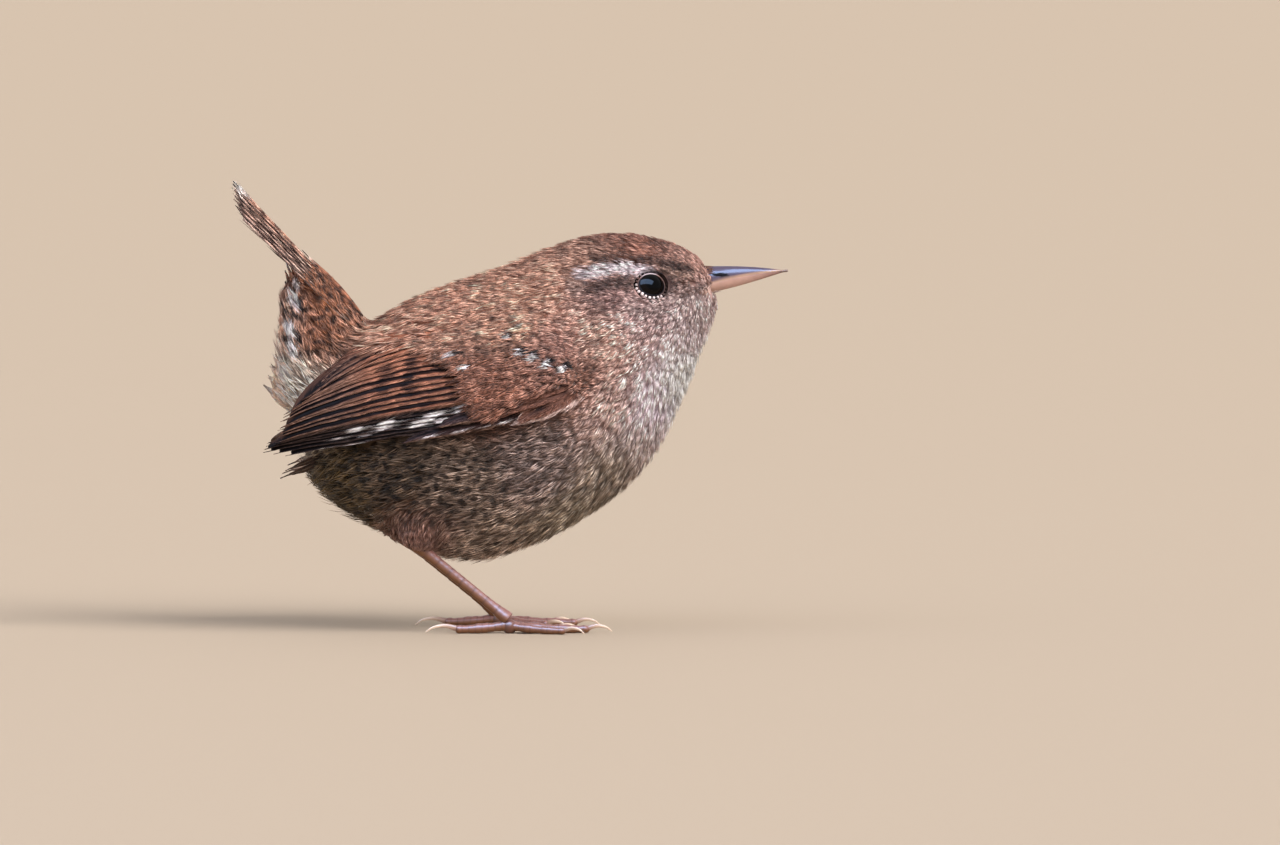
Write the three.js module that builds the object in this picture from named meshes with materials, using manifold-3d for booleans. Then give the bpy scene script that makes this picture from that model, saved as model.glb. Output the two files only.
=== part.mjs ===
// A life-size wren standing on two feet with its tail cocked, as a still display model.
// Millimetres, +Z up, the bill towards +X, the floor at z = 0 and the bird centred over the origin.
import * as THREE from "three";
import { ParametricGeometry } from "three/addons/geometries/ParametricGeometry.js";
import { mergeVertices } from "three/addons/utils/BufferGeometryUtils.js";
import Module from "manifold-3d";

const wasm = await Module();
wasm.setup();

// Driving dimensions
const GAP = 0.3; // clearance between two pieces that meet
const RIGHT = -1; // the side of the body towards -Y
const LEFT = 1;
const BODY_SIDES = 30;
const BODY_RINGS = 30;
const VANE_THICKNESS = 0.5;
const FINEST = 0.02; // details smaller than this are smoothed away

// The body from rump to bill, one row for each cross-section. A section lies in the plane through its top
// and bottom points: [name, top x, top z, bottom x, bottom z, half width, share of height where widest,
// share by which the upper half narrows].
const SECTIONS = [
  ["rump end", -28.4, 37.6, -30.0, 27.0, 3.2, 0.5, 0],
  ["rump", -24.7, 42.6, -28.4, 22.4, 8.0, 0.52, 0.02],
  ["loin", -20.3, 45.9, -24.0, 18.1, 11.5, 0.54, 0.04],
  ["hip", -15.1, 49.0, -18.1, 14.1, 13.9, 0.54, 0.05],
  ["belly", -9.2, 51.4, -12.1, 11.4, 15.6, 0.54, 0.05],
  ["middle", -3.3, 53.3, -4.7, 10.7, 16.3, 0.54, 0.05],
  ["ribs", 1.9, 55.3, 4.1, 13.1, 16.3, 0.54, 0.06],
  ["shoulder", 5.9, 56.9, 12.3, 17.6, 15.5, 0.54, 0.1],
  ["breast", 9.3, 58.0, 19.0, 23.4, 14.0, 0.54, 0.16],
  ["neck", 12.7, 58.7, 23.5, 30.8, 12.2, 0.56, 0.26],
  ["eye", 16.3, 58.9, 26.2, 37.4, 10.1, 0.6, 0.4],
  ["cheek", 19.7, 58.5, 27.8, 41.9, 8.7, 0.6, 0.36],
  ["lore", 23.1, 57.6, 29.2, 45.6, 7.1, 0.58, 0.26],
  ["forehead", 26.1, 56.2, 30.2, 48.3, 5.2, 0.55, 0.16],
  ["bill root", 28.2, 54.7, 30.4, 50.0, 3.1, 0.52, 0.06],
  ["bill end", 29.0, 53.4, 29.9, 51.4, 1.6, 0.5, 0],
];

const EYE = { x: 20.2, z: 50.8, middle: 5.8, radius: 2.6, rim: 2.42, lid: 0.36, facing: [0.38, 1, 0.5] };
const BILL = {
  root: 27.4, tip: 40.9, tipZ: 53.3, rootTop: 53.9, rootGape: 50.7, rootBottom: 49.6, halfWidth: 2.1,
};
const NOSTRIL = { x: 31.0, z: 52.75, length: 1.7, height: 0.5 };

// The folded wing: how far its lowest layer stands from the middle of the bird, seen from above, as [x, y].
const WING_PLAN = [[15, 12.6], [9, 15.4], [2, 16.8], [-8, 16.9], [-20, 14.2], [-36, 7.8]];
const WING_LEVEL = [32, 29]; // height at which the wing is widest, at the shoulder and at the tip
const LEAN_ABOVE = [15, 11.5]; // radius of its curve over the back, at the shoulder and over the rump
const LEAN_BELOW = 34; // radius of its curve under the flank
const WING_SINKS_AT = [6, 14]; // x between which the feathers sink under the breast
const LAYER = 0.165; // each flight feather lies this much further out than the one below it

// Feathers of the wing by tract, each drawn by its lower edge from root to tip. The first point is for the
// outermost feather and the second for the innermost, as [x, z]. Sag is how far the edge bows downwards.
const WING_TRACTS = {
  primaries: {
    count: 9, root: [[3.5, 31.2], [6.5, 33.5]], tip: [[-29.8, 25.0], [-33.0, 27.4]],
    sag: [1.0, -0.6], width: [3.6, 4.6], layer: [0, 8], farthest: [-35.9, 25.0],
  },
  secondaries: {
    count: 6, root: [[7.0, 34.4], [-2.0, 38.6]], tip: [[-33.0, 29.0], [-32.0, 31.4]],
    sag: [-0.8, -1.6], width: [4.8, 5.2], layer: [9, 14],
  },
  tertials: {
    count: 3, root: [[-4.0, 39.6], [-6.6, 42.2]], tip: [[-31.2, 32.4], [-28.4, 36.2]],
    sag: [-2.2, -2.4], width: [5.0, 5.0], layer: [15, 17],
  },
  primaryCoverts: {
    count: 3, root: [[9.4, 33.0], [8.6, 34.2]], tip: [[-13.0, 28.7], [-9.4, 30.2]],
    sag: [0.9, 0.5], width: [2.4, 2.6], layer: [9.5, 12.5],
  },
  greaterCoverts: {
    count: 6, root: [[10.2, 35.0], [1.8, 41.2]], tip: [[-4.2, 31.0], [-9.6, 40.2]],
    sag: [0.2, -0.6], width: [3.2, 3.8], layer: [15.5, 20],
  },
  medianCoverts: {
    count: 5, root: [[12.2, 39.6], [4.2, 45.4]], tip: [[6.2, 37.9], [-1.6, 43.6]],
    sag: [0, -0.2], width: [3.0, 3.2], layer: [20, 22.5],
  },
  lesserCoverts: {
    count: 6, root: [[14.2, 37.4], [5.6, 46.8]], tip: [[9.4, 37.0], [1.2, 45.6]],
    sag: [0, -0.1], width: [2.8, 2.9], layer: [22, 24],
  },
  alula: {
    count: 2, root: [[11.8, 35.8], [12.4, 36.6]], tip: [[1.6, 30.9], [5.4, 33.8]],
    sag: [0.9, 0.6], width: [2.4, 2.2], layer: [17, 20],
  },
};
// The sheet that carries the wing's feathers: its lower and upper edges from shoulder to tip as [x, z]
const WING_SHEET = {
  lower: [[10.5, 37.0], [0, 34.0], [-10, 31.0], [-20, 28.9], [-29.5, 27.6]],
  upper: [[8.5, 45.5], [0, 46.6], [-10, 46.2], [-19, 42.4], [-29.5, 32.5]],
  rise: 2.5, thickness: [3.0, 0.8],
};
const SHOULDER_PAD = { x: 6.6, z: 40.2, length: 8.2, height: 6.2, rise: 3.8 };

// The cone of coverts at the root of the tail, as the body's sections, and the twelve tail feathers
const TAIL_SECTIONS = [
  ["inside the rump", -17.0, 45.4, -26.6, 27.6, 5.0, 0.5, 0],
  ["covert root", -21.0, 45.4, -31.6, 31.4, 6.0, 0.5, 0],
  ["fluff", -23.9, 48.4, -33.6, 36.4, 5.9, 0.52, 0],
  ["upper coverts", -26.4, 50.9, -33.8, 44.0, 4.9, 0.52, 0],
  ["neck of the fan", -29.3, 53.7, -34.0, 50.4, 3.9, 0.52, 0],
  ["end of the coverts", -31.8, 56.4, -34.3, 54.8, 2.5, 0.5, 0],
];
const TAIL = {
  pairs: 6, root: [-22.4, 46.2], tip: [-40.7, 66.1], bow: 0.2, width: 4.2,
  spread: 0.85, step: 0.25, shorter: 0.72, roof: 0.08,
};
// Coverts over and under the root of the tail: [share of the cone where it starts, where it ends, angle round
// the cone from the upper side in degrees, width in degrees]
const TAIL_COVERTS = [
  [0.46, 0.74, 24, 50], [0.46, 0.74, -24, 50], [0.62, 0.97, 0, 60],
  [0.3, 0.6, 128, 46], [0.3, 0.6, -128, 46], [0.36, 0.68, 168, 46], [0.36, 0.68, -168, 46],
  [0.56, 0.9, 146, 60], [0.56, 0.9, -146, 60], [0.68, 0.99, 180, 84],
];

const LEG = {
  hip: [-11.8, 7.2, 20.2], // top of the feathered thigh: x, distance from the middle, z
  ankle: [-14.3, 7.7, 13.3],
  foot: [-0.5, 7.7, 2.1],
  thighTop: 4.6, thighEnd: 2.5, thighBelow: 0.9,
  shankDepth: 0.75, shankWidth: 0.58, ankleSize: 1.05, ballSize: 1.12,
  leftShift: -1.8, // the left foot stands this much further back
};
// Toes as [name, angle from straight ahead towards the outside, length to the claw, thickness at the root,
// claw length]
const TOES = [
  ["middle", -2, 12.0, 0.7, 4.2],
  ["inner", -24, 8.4, 0.66, 3.8],
  ["outer", 20, 9.0, 0.64, 3.8],
  ["hind", 176, 7.8, 0.74, 5.4],
];

const COLOURS = {
  crown: 0x7a5138, flank: 0x9c8468, back: 0x85593c, wing: 0x6e4630, tail: 0x80553a, coverts: 0x8a7358,
  upperBill: 0x3e3a44, lowerBill: 0xb79a86, eye: 0x0b0908, shank: 0xb08a7e, claw: 0xcdbfae,
};

// Making and joining closed surfaces

// Indexed geometry with its poles and seams closed.
function closed(geometry) {
  const bare = geometry.clone();
  for (const name of Object.keys(bare.attributes)) {
    if (name !== "position") bare.deleteAttribute(name);
  }
  const merged = mergeVertices(bare, 1e-4);
  const kept = [];
  const index = merged.index.array;
  for (let i = 0; i < index.length; i += 3) {
    const [a, b, c] = [index[i], index[i + 1], index[i + 2]];
    if (a !== b && b !== c && a !== c) kept.push(a, b, c);
  }
  merged.setIndex(kept);
  return merged;
}

// A closed geometry as a solid that manifold-3d can join and cut.
function solid(geometry) {
  const merged = closed(geometry);
  const made = new wasm.Manifold(new wasm.Mesh({
    numProp: 3,
    vertProperties: new Float32Array(merged.attributes.position.array),
    triVerts: new Uint32Array(merged.index.array),
  }));
  if (made.volume() >= 0) return made;
  const turned = [];
  const index = merged.index.array;
  for (let i = 0; i < index.length; i += 3) turned.push(index[i], index[i + 2], index[i + 1]);
  merged.setIndex(turned);
  return solid(merged);
}

function largest(made) {
  const bodies = made.decompose().filter((body) => body.volume() > 0);
  return bodies.reduce((best, body) => (body.volume() > best.volume() ? body : best));
}

function geometryOf(made) {
  const mesh = made.getMesh();
  const positions = new Float32Array(mesh.numVert * 3);
  for (let i = 0; i < mesh.numVert; i++) {
    positions.set(mesh.vertProperties.subarray(i * mesh.numProp, i * mesh.numProp + 3), i * 3);
  }
  const geometry = new THREE.BufferGeometry();
  geometry.setAttribute("position", new THREE.BufferAttribute(positions, 3));
  geometry.setIndex(new THREE.BufferAttribute(new Uint32Array(mesh.triVerts), 1));
  geometry.computeVertexNormals();
  return geometry;
}

// Whether the surface touches itself along an edge, where two thin pieces only just meet.
function pinched(geometry) {
  const index = closed(geometry).index.array;
  const uses = new Map();
  for (let i = 0; i < index.length; i++) {
    const [a, b] = [index[i], index[i % 3 === 2 ? i - 2 : i + 1]];
    const edge = Math.min(a, b) + "," + Math.max(a, b);
    uses.set(edge, (uses.get(edge) || 0) + 1);
  }
  return [...uses.values()].some((count) => count > 2);
}

// The largest body of a solid, with slivers smoothed away until it is sound.
function smoothed(made) {
  let finest = FINEST;
  let geometry = geometryOf(largest(made.simplify(finest)));
  while (pinched(geometry) && finest < 0.1) {
    finest *= 1.3;
    geometry = geometryOf(largest(made.simplify(finest)));
  }
  return geometry;
}

function mirrored(made) {
  return solid(geometryOf(made).scale(1, -1, 1));
}

function joined(pieces) {
  return pieces.reduce((all, piece) => all.add(piece));
}

// A closed skin round rings. ring(t, angle) gives a point, and both ends of t close on their centre.
function loft(ring, rings, sides) {
  const centre = (t) => {
    const sum = new THREE.Vector3();
    for (let k = 0; k < sides; k++) sum.add(ring(t, (2 * Math.PI * k) / sides));
    return sum.divideScalar(sides);
  };
  const stacks = rings + 2;
  return new ParametricGeometry((u, v, target) => {
    const row = Math.round(v * stacks);
    if (row === 0 || row === stacks) target.copy(centre(row === 0 ? 0 : 1));
    else target.copy(ring((row - 1) / rings, 2 * Math.PI * (Math.round(u * sides) % sides) / sides));
  }, sides, stacks);
}

// A thin closed plate. sheet(s, t) gives the outer point and inner(s, t) the one under it, split alike.
function plate(sheet, inner, along, across) {
  const grid = new THREE.PlaneGeometry(1, 1, across, along);
  const count = grid.attributes.position.count;
  const points = [];
  for (const side of [sheet, inner]) {
    for (let i = 0; i < count; i++) {
      const [s, t] = [0.5 - grid.attributes.position.getY(i), grid.attributes.position.getX(i) + 0.5];
      points.push(...side(s, t));
    }
  }
  const faces = [];
  const index = grid.index.array;
  for (let i = 0; i < index.length; i += 3) {
    const [a, b, c] = [index[i], index[i + 1], index[i + 2]];
    faces.push(a, b, c, a + count, c + count, b + count);
  }
  const rim = [];
  const row = across + 1;
  for (let i = 0; i < across; i++) rim.push(i);
  for (let i = 0; i < along; i++) rim.push(across + i * row);
  for (let i = across; i > 0; i--) rim.push(along * row + i);
  for (let i = along; i > 0; i--) rim.push(i * row);
  rim.forEach((a, i) => {
    const b = rim[(i + 1) % rim.length];
    faces.push(a, b, b + count, a, b + count, a + count);
  });
  const geometry = new THREE.BufferGeometry();
  geometry.setAttribute("position", new THREE.Float32BufferAttribute(points, 3));
  geometry.setIndex(faces);
  return geometry;
}

const mix = (a, b, t) => a + (b - a) * t;
const smooth = (t) => t * t * (3 - 2 * t);
const clamp = (t) => Math.min(1, Math.max(0, t));
const flip = (points, side) => (side === RIGHT ? points : points.map(([x, y, z]) => [x, -y, z]));

// The body and the tail cone

function sectionCurves(sections) {
  const curve = (pick) => new THREE.CatmullRomCurve3(sections.map(pick), false, "catmullrom", 0.5);
  return {
    top: curve((s) => new THREE.Vector3(s[1], 0, s[2])),
    bottom: curve((s) => new THREE.Vector3(s[3], 0, s[4])),
    width: curve((s) => new THREE.Vector3(s[5], s[6], s[7])),
  };
}

// A ring of the body at t along it, with its surface moved out by grow.
function sectionPoint(curves, t, angle, grow) {
  const top = curves.top.getPoint(t);
  const bottom = curves.bottom.getPoint(t);
  const shape = curves.width.getPoint(t);
  const across = Math.cos(angle);
  const share = across >= 0 ? shape.y * (1 - across) : shape.y - (1 - shape.y) * across;
  const narrowing = share < shape.y ? 1 - shape.z * (1 - share / shape.y) : 1;
  const point = top.clone().lerp(bottom, share);
  const outwards = bottom.clone().sub(top).normalize().multiplyScalar(-across * grow);
  point.add(outwards);
  point.y = Math.sin(angle) * (Math.max(shape.x, 0.3) * narrowing + grow);
  return point;
}

function sectionLoft(sections, rings, sides, grow = 0) {
  const curves = sectionCurves(sections);
  return solid(loft((t, angle) => sectionPoint(curves, t, angle, grow), rings, sides));
}

const wholeBody = (grow = 0) => sectionLoft(SECTIONS, BODY_RINGS, BODY_SIDES, grow);
const tailCone = (grow = 0) => sectionLoft(TAIL_SECTIONS, 10, 16, grow);

// The plane of a section, as manifold's normal and offset, for parting the body there.
function partingPlane(t, shift) {
  const curves = sectionCurves(SECTIONS);
  const at = t / (SECTIONS.length - 1);
  const top = curves.top.getPoint(at);
  const down = curves.bottom.getPoint(at).sub(top).normalize();
  const normal = new THREE.Vector3(-down.z, 0, down.x);
  return [normal.toArray(), normal.dot(top) + shift];
}

function cutBetween(made, from, to) {
  let part = made;
  if (from !== null) part = part.trimByPlane(...partingPlane(from, GAP / 2));
  if (to !== null) {
    const [normal, offset] = partingPlane(to, -GAP / 2);
    part = part.trimByPlane(normal.map((n) => -n), -offset);
  }
  return part;
}

// The eye, its lids and its socket

function ball(radius, x, y, z, detail = 8) {
  return solid(new THREE.SphereGeometry(radius, detail * 2, detail).translate(x, y, z));
}

const eyeball = (side, grow = 0) => ball(EYE.radius + grow, EYE.x, side * EYE.middle, EYE.z);

function lids(side) {
  const ring = new THREE.TorusGeometry(EYE.rim, EYE.lid, 6, 20).scale(1, 0.92, 1);
  const facing = new THREE.Vector3(EYE.facing[0], side * EYE.facing[1], EYE.facing[2]).normalize();
  const turn = new THREE.Quaternion().setFromUnitVectors(new THREE.Vector3(0, 0, 1), facing);
  const out = Math.sqrt((EYE.radius + GAP + 0.05) ** 2 - EYE.rim ** 2);
  return solid(ring.applyQuaternion(turn).translate(
    EYE.x + facing.x * out, side * EYE.middle + facing.y * out, EYE.z + facing.z * out));
}

// The bill, in two halves that part along the gape

function billPoint(t, share, side, half) {
  const x = mix(BILL.root, BILL.tip, t);
  const gape = mix(BILL.rootGape, BILL.tipZ, t ** 0.9) + 0.35 * Math.sin(Math.PI * t);
  const outer = half === "upper"
    ? mix(BILL.rootTop, BILL.tipZ, t ** 2.4) + 0.15 * Math.sin(Math.PI * t)
    : mix(BILL.rootBottom, BILL.tipZ, t ** 1.15) - 0.1 * Math.sin(Math.PI * t);
  const width = BILL.halfWidth * (1 - t) ** 0.85 * mix(1, 0.72, Math.sin(Math.PI * t)) + 0.12;
  const edge = half === "upper" ? gape + GAP / 2 : gape - GAP / 2;
  const tall = half === "upper" ? Math.max(outer - edge, 0.3) : Math.min(outer - edge, -0.3);
  return new THREE.Vector3(x, side * width, edge + tall * share);
}

function billHalf(half, grow = 0) {
  const sides = 12;
  return solid(loft((t, angle) => {
    const arch = Math.cos(angle);
    const point = billPoint(t, Math.max(arch, 0), Math.sin(angle), half);
    point.y += Math.sin(angle) * grow;
    point.z += (half === "upper" ? 1 : -1) * arch * grow;
    return point;
  }, 12, sides));
}

function nostrils() {
  const slit = (side) => solid(new THREE.SphereGeometry(1, 12, 8)
    .scale(NOSTRIL.length / 2, 0.42, NOSTRIL.height / 2)
    .translate(NOSTRIL.x, side * BILL.halfWidth * 0.62, NOSTRIL.z));
  return joined([slit(RIGHT), slit(LEFT)]);
}

// The wings

const wingPlan = new THREE.CatmullRomCurve3(
  WING_PLAN.map(([x, y]) => new THREE.Vector3(x, y, 0)), false, "catmullrom", 0.5);
const wingPlanPoints = wingPlan.getPoints(60);

// How far from the middle the wing's lowest layer lies at x, z.
function wingOut(x, z) {
  const next = wingPlanPoints.findIndex((p) => p.x <= x);
  const last = wingPlanPoints.length - 1;
  const i = next < 0 ? last : Math.max(next, 1);
  const [a, b] = [wingPlanPoints[i - 1], wingPlanPoints[i]];
  const out = mix(a.y, b.y, (x - a.x) / (b.x - a.x));
  const back = clamp((4 - x) / 26);
  const rise = z - mix(...WING_LEVEL, back);
  return out - rise ** 2 / (2 * (rise > 0 ? mix(...LEAN_ABOVE, back) : LEAN_BELOW));
}

// How much of a feather's height over the sheet is left at x, near the front of the wing.
const standing = (x) => 1 - smooth(clamp((x - WING_SINKS_AT[0]) / (WING_SINKS_AT[1] - WING_SINKS_AT[0])));

// One vane on the wing, its lower edge from root to tip, lifted by its layer, its upper edge tucked in.
function wingVane(root, tip, sag, width, layer, along = 5) {
  const chord = Math.hypot(tip[0] - root[0], tip[1] - root[1]);
  const ahead = [(tip[0] - root[0]) / chord, (tip[1] - root[1]) / chord];
  const up = [ahead[1], -ahead[0]].map((n) => n * Math.sign(-ahead[0]));
  const outline = (s) => {
    const spread = mix(0.55, 1, smooth(clamp(s / 0.45)));
    return width * spread * Math.sqrt(clamp((1.03 - s) / 0.32));
  };
  const at = (depth) => (s, t) => {
    const bow = -sag * 4 * s * (1 - s) + t * outline(s);
    const x = mix(root[0], tip[0], s) + up[0] * bow;
    const z = mix(root[1], tip[1], s) + up[1] * bow;
    const lift = (layer * LAYER + mix(0.3, -0.2, t)) * standing(x) - depth * mix(2.6, 1, smooth(s));
    return [x, -(wingOut(x, z) + lift), z];
  };
  return [at(0), at(VANE_THICKNESS), along];
}

function vaneSolid([outer, inner, along], side) {
  const turned = (fn) => (s, t) => flip([fn(s, t)], side)[0];
  return solid(plate(turned(outer), turned(inner), along, 1));
}

function tractVanes(tract) {
  return Array.from({ length: tract.count }, (_, i) => {
    const t = tract.count > 1 ? i / (tract.count - 1) : 0;
    const between = (pair) => [mix(pair[0][0], pair[1][0], t), mix(pair[0][1], pair[1][1], t)];
    const tip = between(tract.tip);
    const reach = Math.sin(Math.PI * clamp(t * 0.9 + 0.1)) ** 0.7;
    if (tract.farthest) tip[0] = mix(tip[0], tract.farthest[0], reach);
    const [sag, width, layer] = [tract.sag, tract.width, tract.layer].map((ends) => mix(...ends, t));
    return wingVane(between(tract.root), tip, sag, width, layer);
  });
}

function wingSheet(side) {
  const edge = (points) => new THREE.CatmullRomCurve3(points.map(([x, z]) => new THREE.Vector3(x, 0, z)));
  const [lower, upper] = [edge(WING_SHEET.lower), edge(WING_SHEET.upper)];
  const at = (under) => (s, t) => {
    const point = lower.getPoint(s).lerp(upper.getPoint(s), t);
    const depth = under * mix(...WING_SHEET.thickness, s);
    return [point.x, side * (wingOut(point.x, point.z) + WING_SHEET.rise * t - 0.1 - depth), point.z];
  };
  return solid(plate(at(0), at(1), 8, 3));
}

function shoulderPad(side) {
  const pad = SHOULDER_PAD;
  return solid(loft((t, angle) => {
    const reach = Math.sin(Math.PI * mix(0.12, 0.88, t));
    const x = pad.x + pad.length * Math.cos(Math.PI * mix(0.12, 0.88, t));
    const z = pad.z + pad.height * reach * Math.cos(angle) - 0.28 * (pad.x - x);
    const rise = Math.sin(angle) > 0 ? pad.rise * reach * Math.sin(angle) * standing(x) : -0.6;
    return new THREE.Vector3(x, side * (wingOut(x, z) + rise), z);
  }, 8, 12));
}

function wing(side, body) {
  const vanes = Object.values(WING_TRACTS).flatMap(tractVanes).map((vane) => vaneSolid(vane, side));
  return largest(joined([wingSheet(side), shoulderPad(side), ...vanes]).subtract(body));
}

// The tail

function tailVane(pair, side) {
  const [root, tip] = [TAIL.root, TAIL.tip];
  const chord = Math.hypot(tip[0] - root[0], tip[1] - root[1]);
  const along = [(tip[0] - root[0]) / chord, (tip[1] - root[1]) / chord];
  const under = [-along[1], along[0]]; // away from the back, towards the belly side of the tail
  const length = chord - TAIL.shorter * pair ** 1.35;
  const at = (depth) => (s, t) => {
    const lateral = (t - 0.36) * TAIL.width * mix(0.5, 1, smooth(clamp(s / 0.5)))
      * Math.sqrt(clamp((1.04 - s) / 0.26)) + (0.45 + TAIL.spread * pair) * mix(0.45, 1, s);
    const roof = TAIL.roof * Math.abs(lateral) ** 1.4;
    const drop = TAIL.step * pair + roof + depth - TAIL.bow * 4 * s * (1 - s);
    return [
      root[0] + along[0] * length * s + under[0] * drop,
      side * lateral,
      root[1] + along[1] * length * s + under[1] * drop,
    ];
  };
  return solid(plate(at(0), at(VANE_THICKNESS), 6, 2));
}

function tailCovert([start, end, degrees, width], curves) {
  const middle = THREE.MathUtils.degToRad(degrees);
  const spread = THREE.MathUtils.degToRad(width);
  const at = (depth) => (s, t) => {
    const share = mix(0.6, 1, smooth(clamp(s / 0.4))) * Math.sqrt(clamp((1.04 - s) / 0.5));
    const point = sectionPoint(curves, mix(start, end, s), middle - (t - 0.5) * spread * share,
      mix(-0.2, 0.5, s) + 0.16 * (1 - (2 * t - 1) ** 2) - depth);
    return point.toArray();
  };
  return solid(plate(at(0), at(VANE_THICKNESS + 0.3), 4, 2));
}

function tail(body) {
  const curves = sectionCurves(TAIL_SECTIONS);
  const vanes = TAIL_COVERTS.map((row) => tailCovert(row, curves));
  for (let pair = 0; pair < TAIL.pairs; pair++) vanes.push(tailVane(pair, RIGHT), tailVane(pair, LEFT));
  return largest(joined([tailCone(), ...vanes]).subtract(body));
}

// The legs

const vec = ([x, y, z], side, shift = 0) => new THREE.Vector3(x + shift, side * y, z);

// A closed tube along points, elliptical, whose half depth and half width at t are given by size(t).
function limb(points, size, rings, sides) {
  const curve = new THREE.CatmullRomCurve3(points);
  return solid(loft((t, angle) => {
    const ahead = curve.getTangent(t);
    const across = new THREE.Vector3(0, 1, 0).cross(ahead).normalize();
    const wide = ahead.clone().cross(across);
    const [deep, broad] = size(t);
    return curve.getPoint(t)
      .addScaledVector(across, Math.cos(angle) * deep)
      .addScaledVector(wide, Math.sin(angle) * broad);
  }, rings, sides));
}

function legPoints(side) {
  const shift = side === LEFT ? LEG.leftShift : 0;
  return {
    hip: vec(LEG.hip, side, shift),
    ankle: vec(LEG.ankle, side, shift),
    foot: vec(LEG.foot, side, shift),
  };
}

function thigh(side, grow = 0) {
  const { hip, ankle } = legPoints(side);
  const size = (t) => {
    const past = t < 0.2 ? (0.2 - t) / 0.23 : Math.max(t - 0.85, 0) / 0.17;
    const r = mix(LEG.thighTop, LEG.thighEnd, t ** 1.2) * Math.sqrt(clamp(1 - past ** 2)) + grow;
    return [r, r * 0.9];
  };
  const end = ankle.clone().setZ(ankle.z - LEG.thighBelow);
  return limb([hip, hip.clone().lerp(end, 0.5), end], size, 9, 14);
}

function shank(side, grow = 0) {
  const { ankle: top, foot } = legPoints(side);
  const size = (t) => {
    const ankle = Math.exp(-((t / 0.13) ** 2));
    const toes = Math.exp(-(((1 - t) / 0.12) ** 2));
    const half = (narrow, atAnkle, atToes) =>
      narrow + (LEG.ankleSize - narrow) * atAnkle * ankle + (LEG.ballSize - narrow) * atToes * toes + grow;
    return [half(LEG.shankDepth, 1, 0.8), half(LEG.shankWidth, 0.8, 1)];
  };
  return limb([top, top.clone().lerp(foot, 0.5), foot], size, 10, 10);
}

// The ball of the foot, which carries the toes and stands on the floor.
function footBall(side, grow = 0) {
  const { foot } = legPoints(side);
  return ball(LEG.ballSize + grow, foot.x + 0.2, foot.y, LEG.ballSize - 0.12, 8);
}

function toeFrame(side, [, angle]) {
  const { foot } = legPoints(side);
  const turn = THREE.MathUtils.degToRad(angle);
  return { foot, ahead: new THREE.Vector3(Math.cos(turn), side * Math.sin(turn), 0) };
}

function toe(side, row, grow = 0) {
  const [, , length, thick] = row;
  const { foot, ahead } = toeFrame(side, row);
  const point = (s, z) => foot.clone().addScaledVector(ahead, s * length).setZ(z);
  const joints = row[0] === "hind" ? 2 : 3;
  const size = (t) => {
    const pad = 0.09 * Math.cos(2 * Math.PI * joints * t);
    const r = thick * mix(1.05, 0.8, t) * (1 + pad) * (t > 0.93 ? 0.8 : 1) + grow;
    return [r * 1.02, r];
  };
  const level = thick * 0.86;
  const path = [[0.06, level + 0.35], [0.35, level + 0.18], [0.7, level], [1, level - 0.06]];
  return limb(path.map(([s, z]) => point(s, z)), size, joints * 3, 7);
}

function claw(side, row, grow = 0) {
  const [, , length, thick, clawLength] = row;
  const { foot, ahead } = toeFrame(side, row);
  const point = (s, z) => foot.clone().addScaledVector(ahead, length + s * clawLength).setZ(z);
  const size = (t) => {
    const r = mix(thick * 0.62, 0.14, t ** 0.8) + grow;
    return [r, r * 0.8];
  };
  const path = [[-0.06, thick * 0.9], [0.3, thick * 1.55], [0.62, thick * 1.2], [0.8, 0.32]];
  return limb(path.map(([s, z]) => point(s, z)), size, 5, 6);
}

// Assembly

const group = new THREE.Group();
const shades = new Map();

function material(colour, roughness) {
  const key = colour + "/" + roughness;
  if (!shades.has(key)) {
    shades.set(key, new THREE.MeshStandardMaterial({ color: colour, roughness, metalness: 0 }));
  }
  return shades.get(key);
}

function add(name, made, colour, roughness = 0.8) {
  const mesh = new THREE.Mesh(smoothed(made), material(colour, roughness));
  mesh.name = name;
  group.add(mesh);
}

const body = wholeBody();
const grownBody = wholeBody(GAP);
const UP = [0, 0, 1];
const HEAD_CUT = 9.2;
const NECK_CUT = 7.8;

const grownBill = joined([billHalf("upper", GAP), billHalf("lower", GAP)]);
const sockets = joined([eyeball(RIGHT, GAP), eyeball(LEFT, GAP)]);
const head = cutBetween(body, HEAD_CUT, null);
add("head", joined([head, lids(RIGHT), lids(LEFT)]).subtract(sockets).subtract(grownBill), COLOURS.crown);
add("neck", cutBetween(body, NECK_CUT, HEAD_CUT), COLOURS.flank);
add("torso", cutBetween(body, null, NECK_CUT), COLOURS.flank);
add("bill_upper", billHalf("upper").subtract(nostrils()), COLOURS.upperBill, 0.35);
add("bill_lower", billHalf("lower"), COLOURS.lowerBill, 0.4);
add("tail", tail(grownBody), COLOURS.tail);

const rightWing = wing(RIGHT, grownBody.add(tailCone(GAP)));
for (const [side, word] of [[RIGHT, "right"], [LEFT, "left"]]) {
  add("eye_" + word, eyeball(side), COLOURS.eye, 0.05);
  add("wing_" + word, side === RIGHT ? rightWing : mirrored(rightWing), COLOURS.wing);
  add("thigh_" + word, thigh(side).subtract(grownBody), COLOURS.coverts);
  const lower = shank(side).add(footBall(side)).subtract(thigh(side, GAP)).trimByPlane(UP, 0);
  add("shank_" + word, lower, COLOURS.shank, 0.5);
  let taken = shank(side, GAP).add(footBall(side, GAP));
  for (const row of TOES) {
    add("toe_" + row[0] + "_" + word, toe(side, row).subtract(taken).trimByPlane(UP, 0), COLOURS.shank, 0.5);
    taken = taken.add(toe(side, row, GAP));
    const clawSolid = claw(side, row).subtract(toe(side, row, GAP)).trimByPlane(UP, 0);
    add("claw_" + row[0] + "_" + word, clawSolid, COLOURS.claw, 0.3);
  }
}

export default group;
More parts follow.
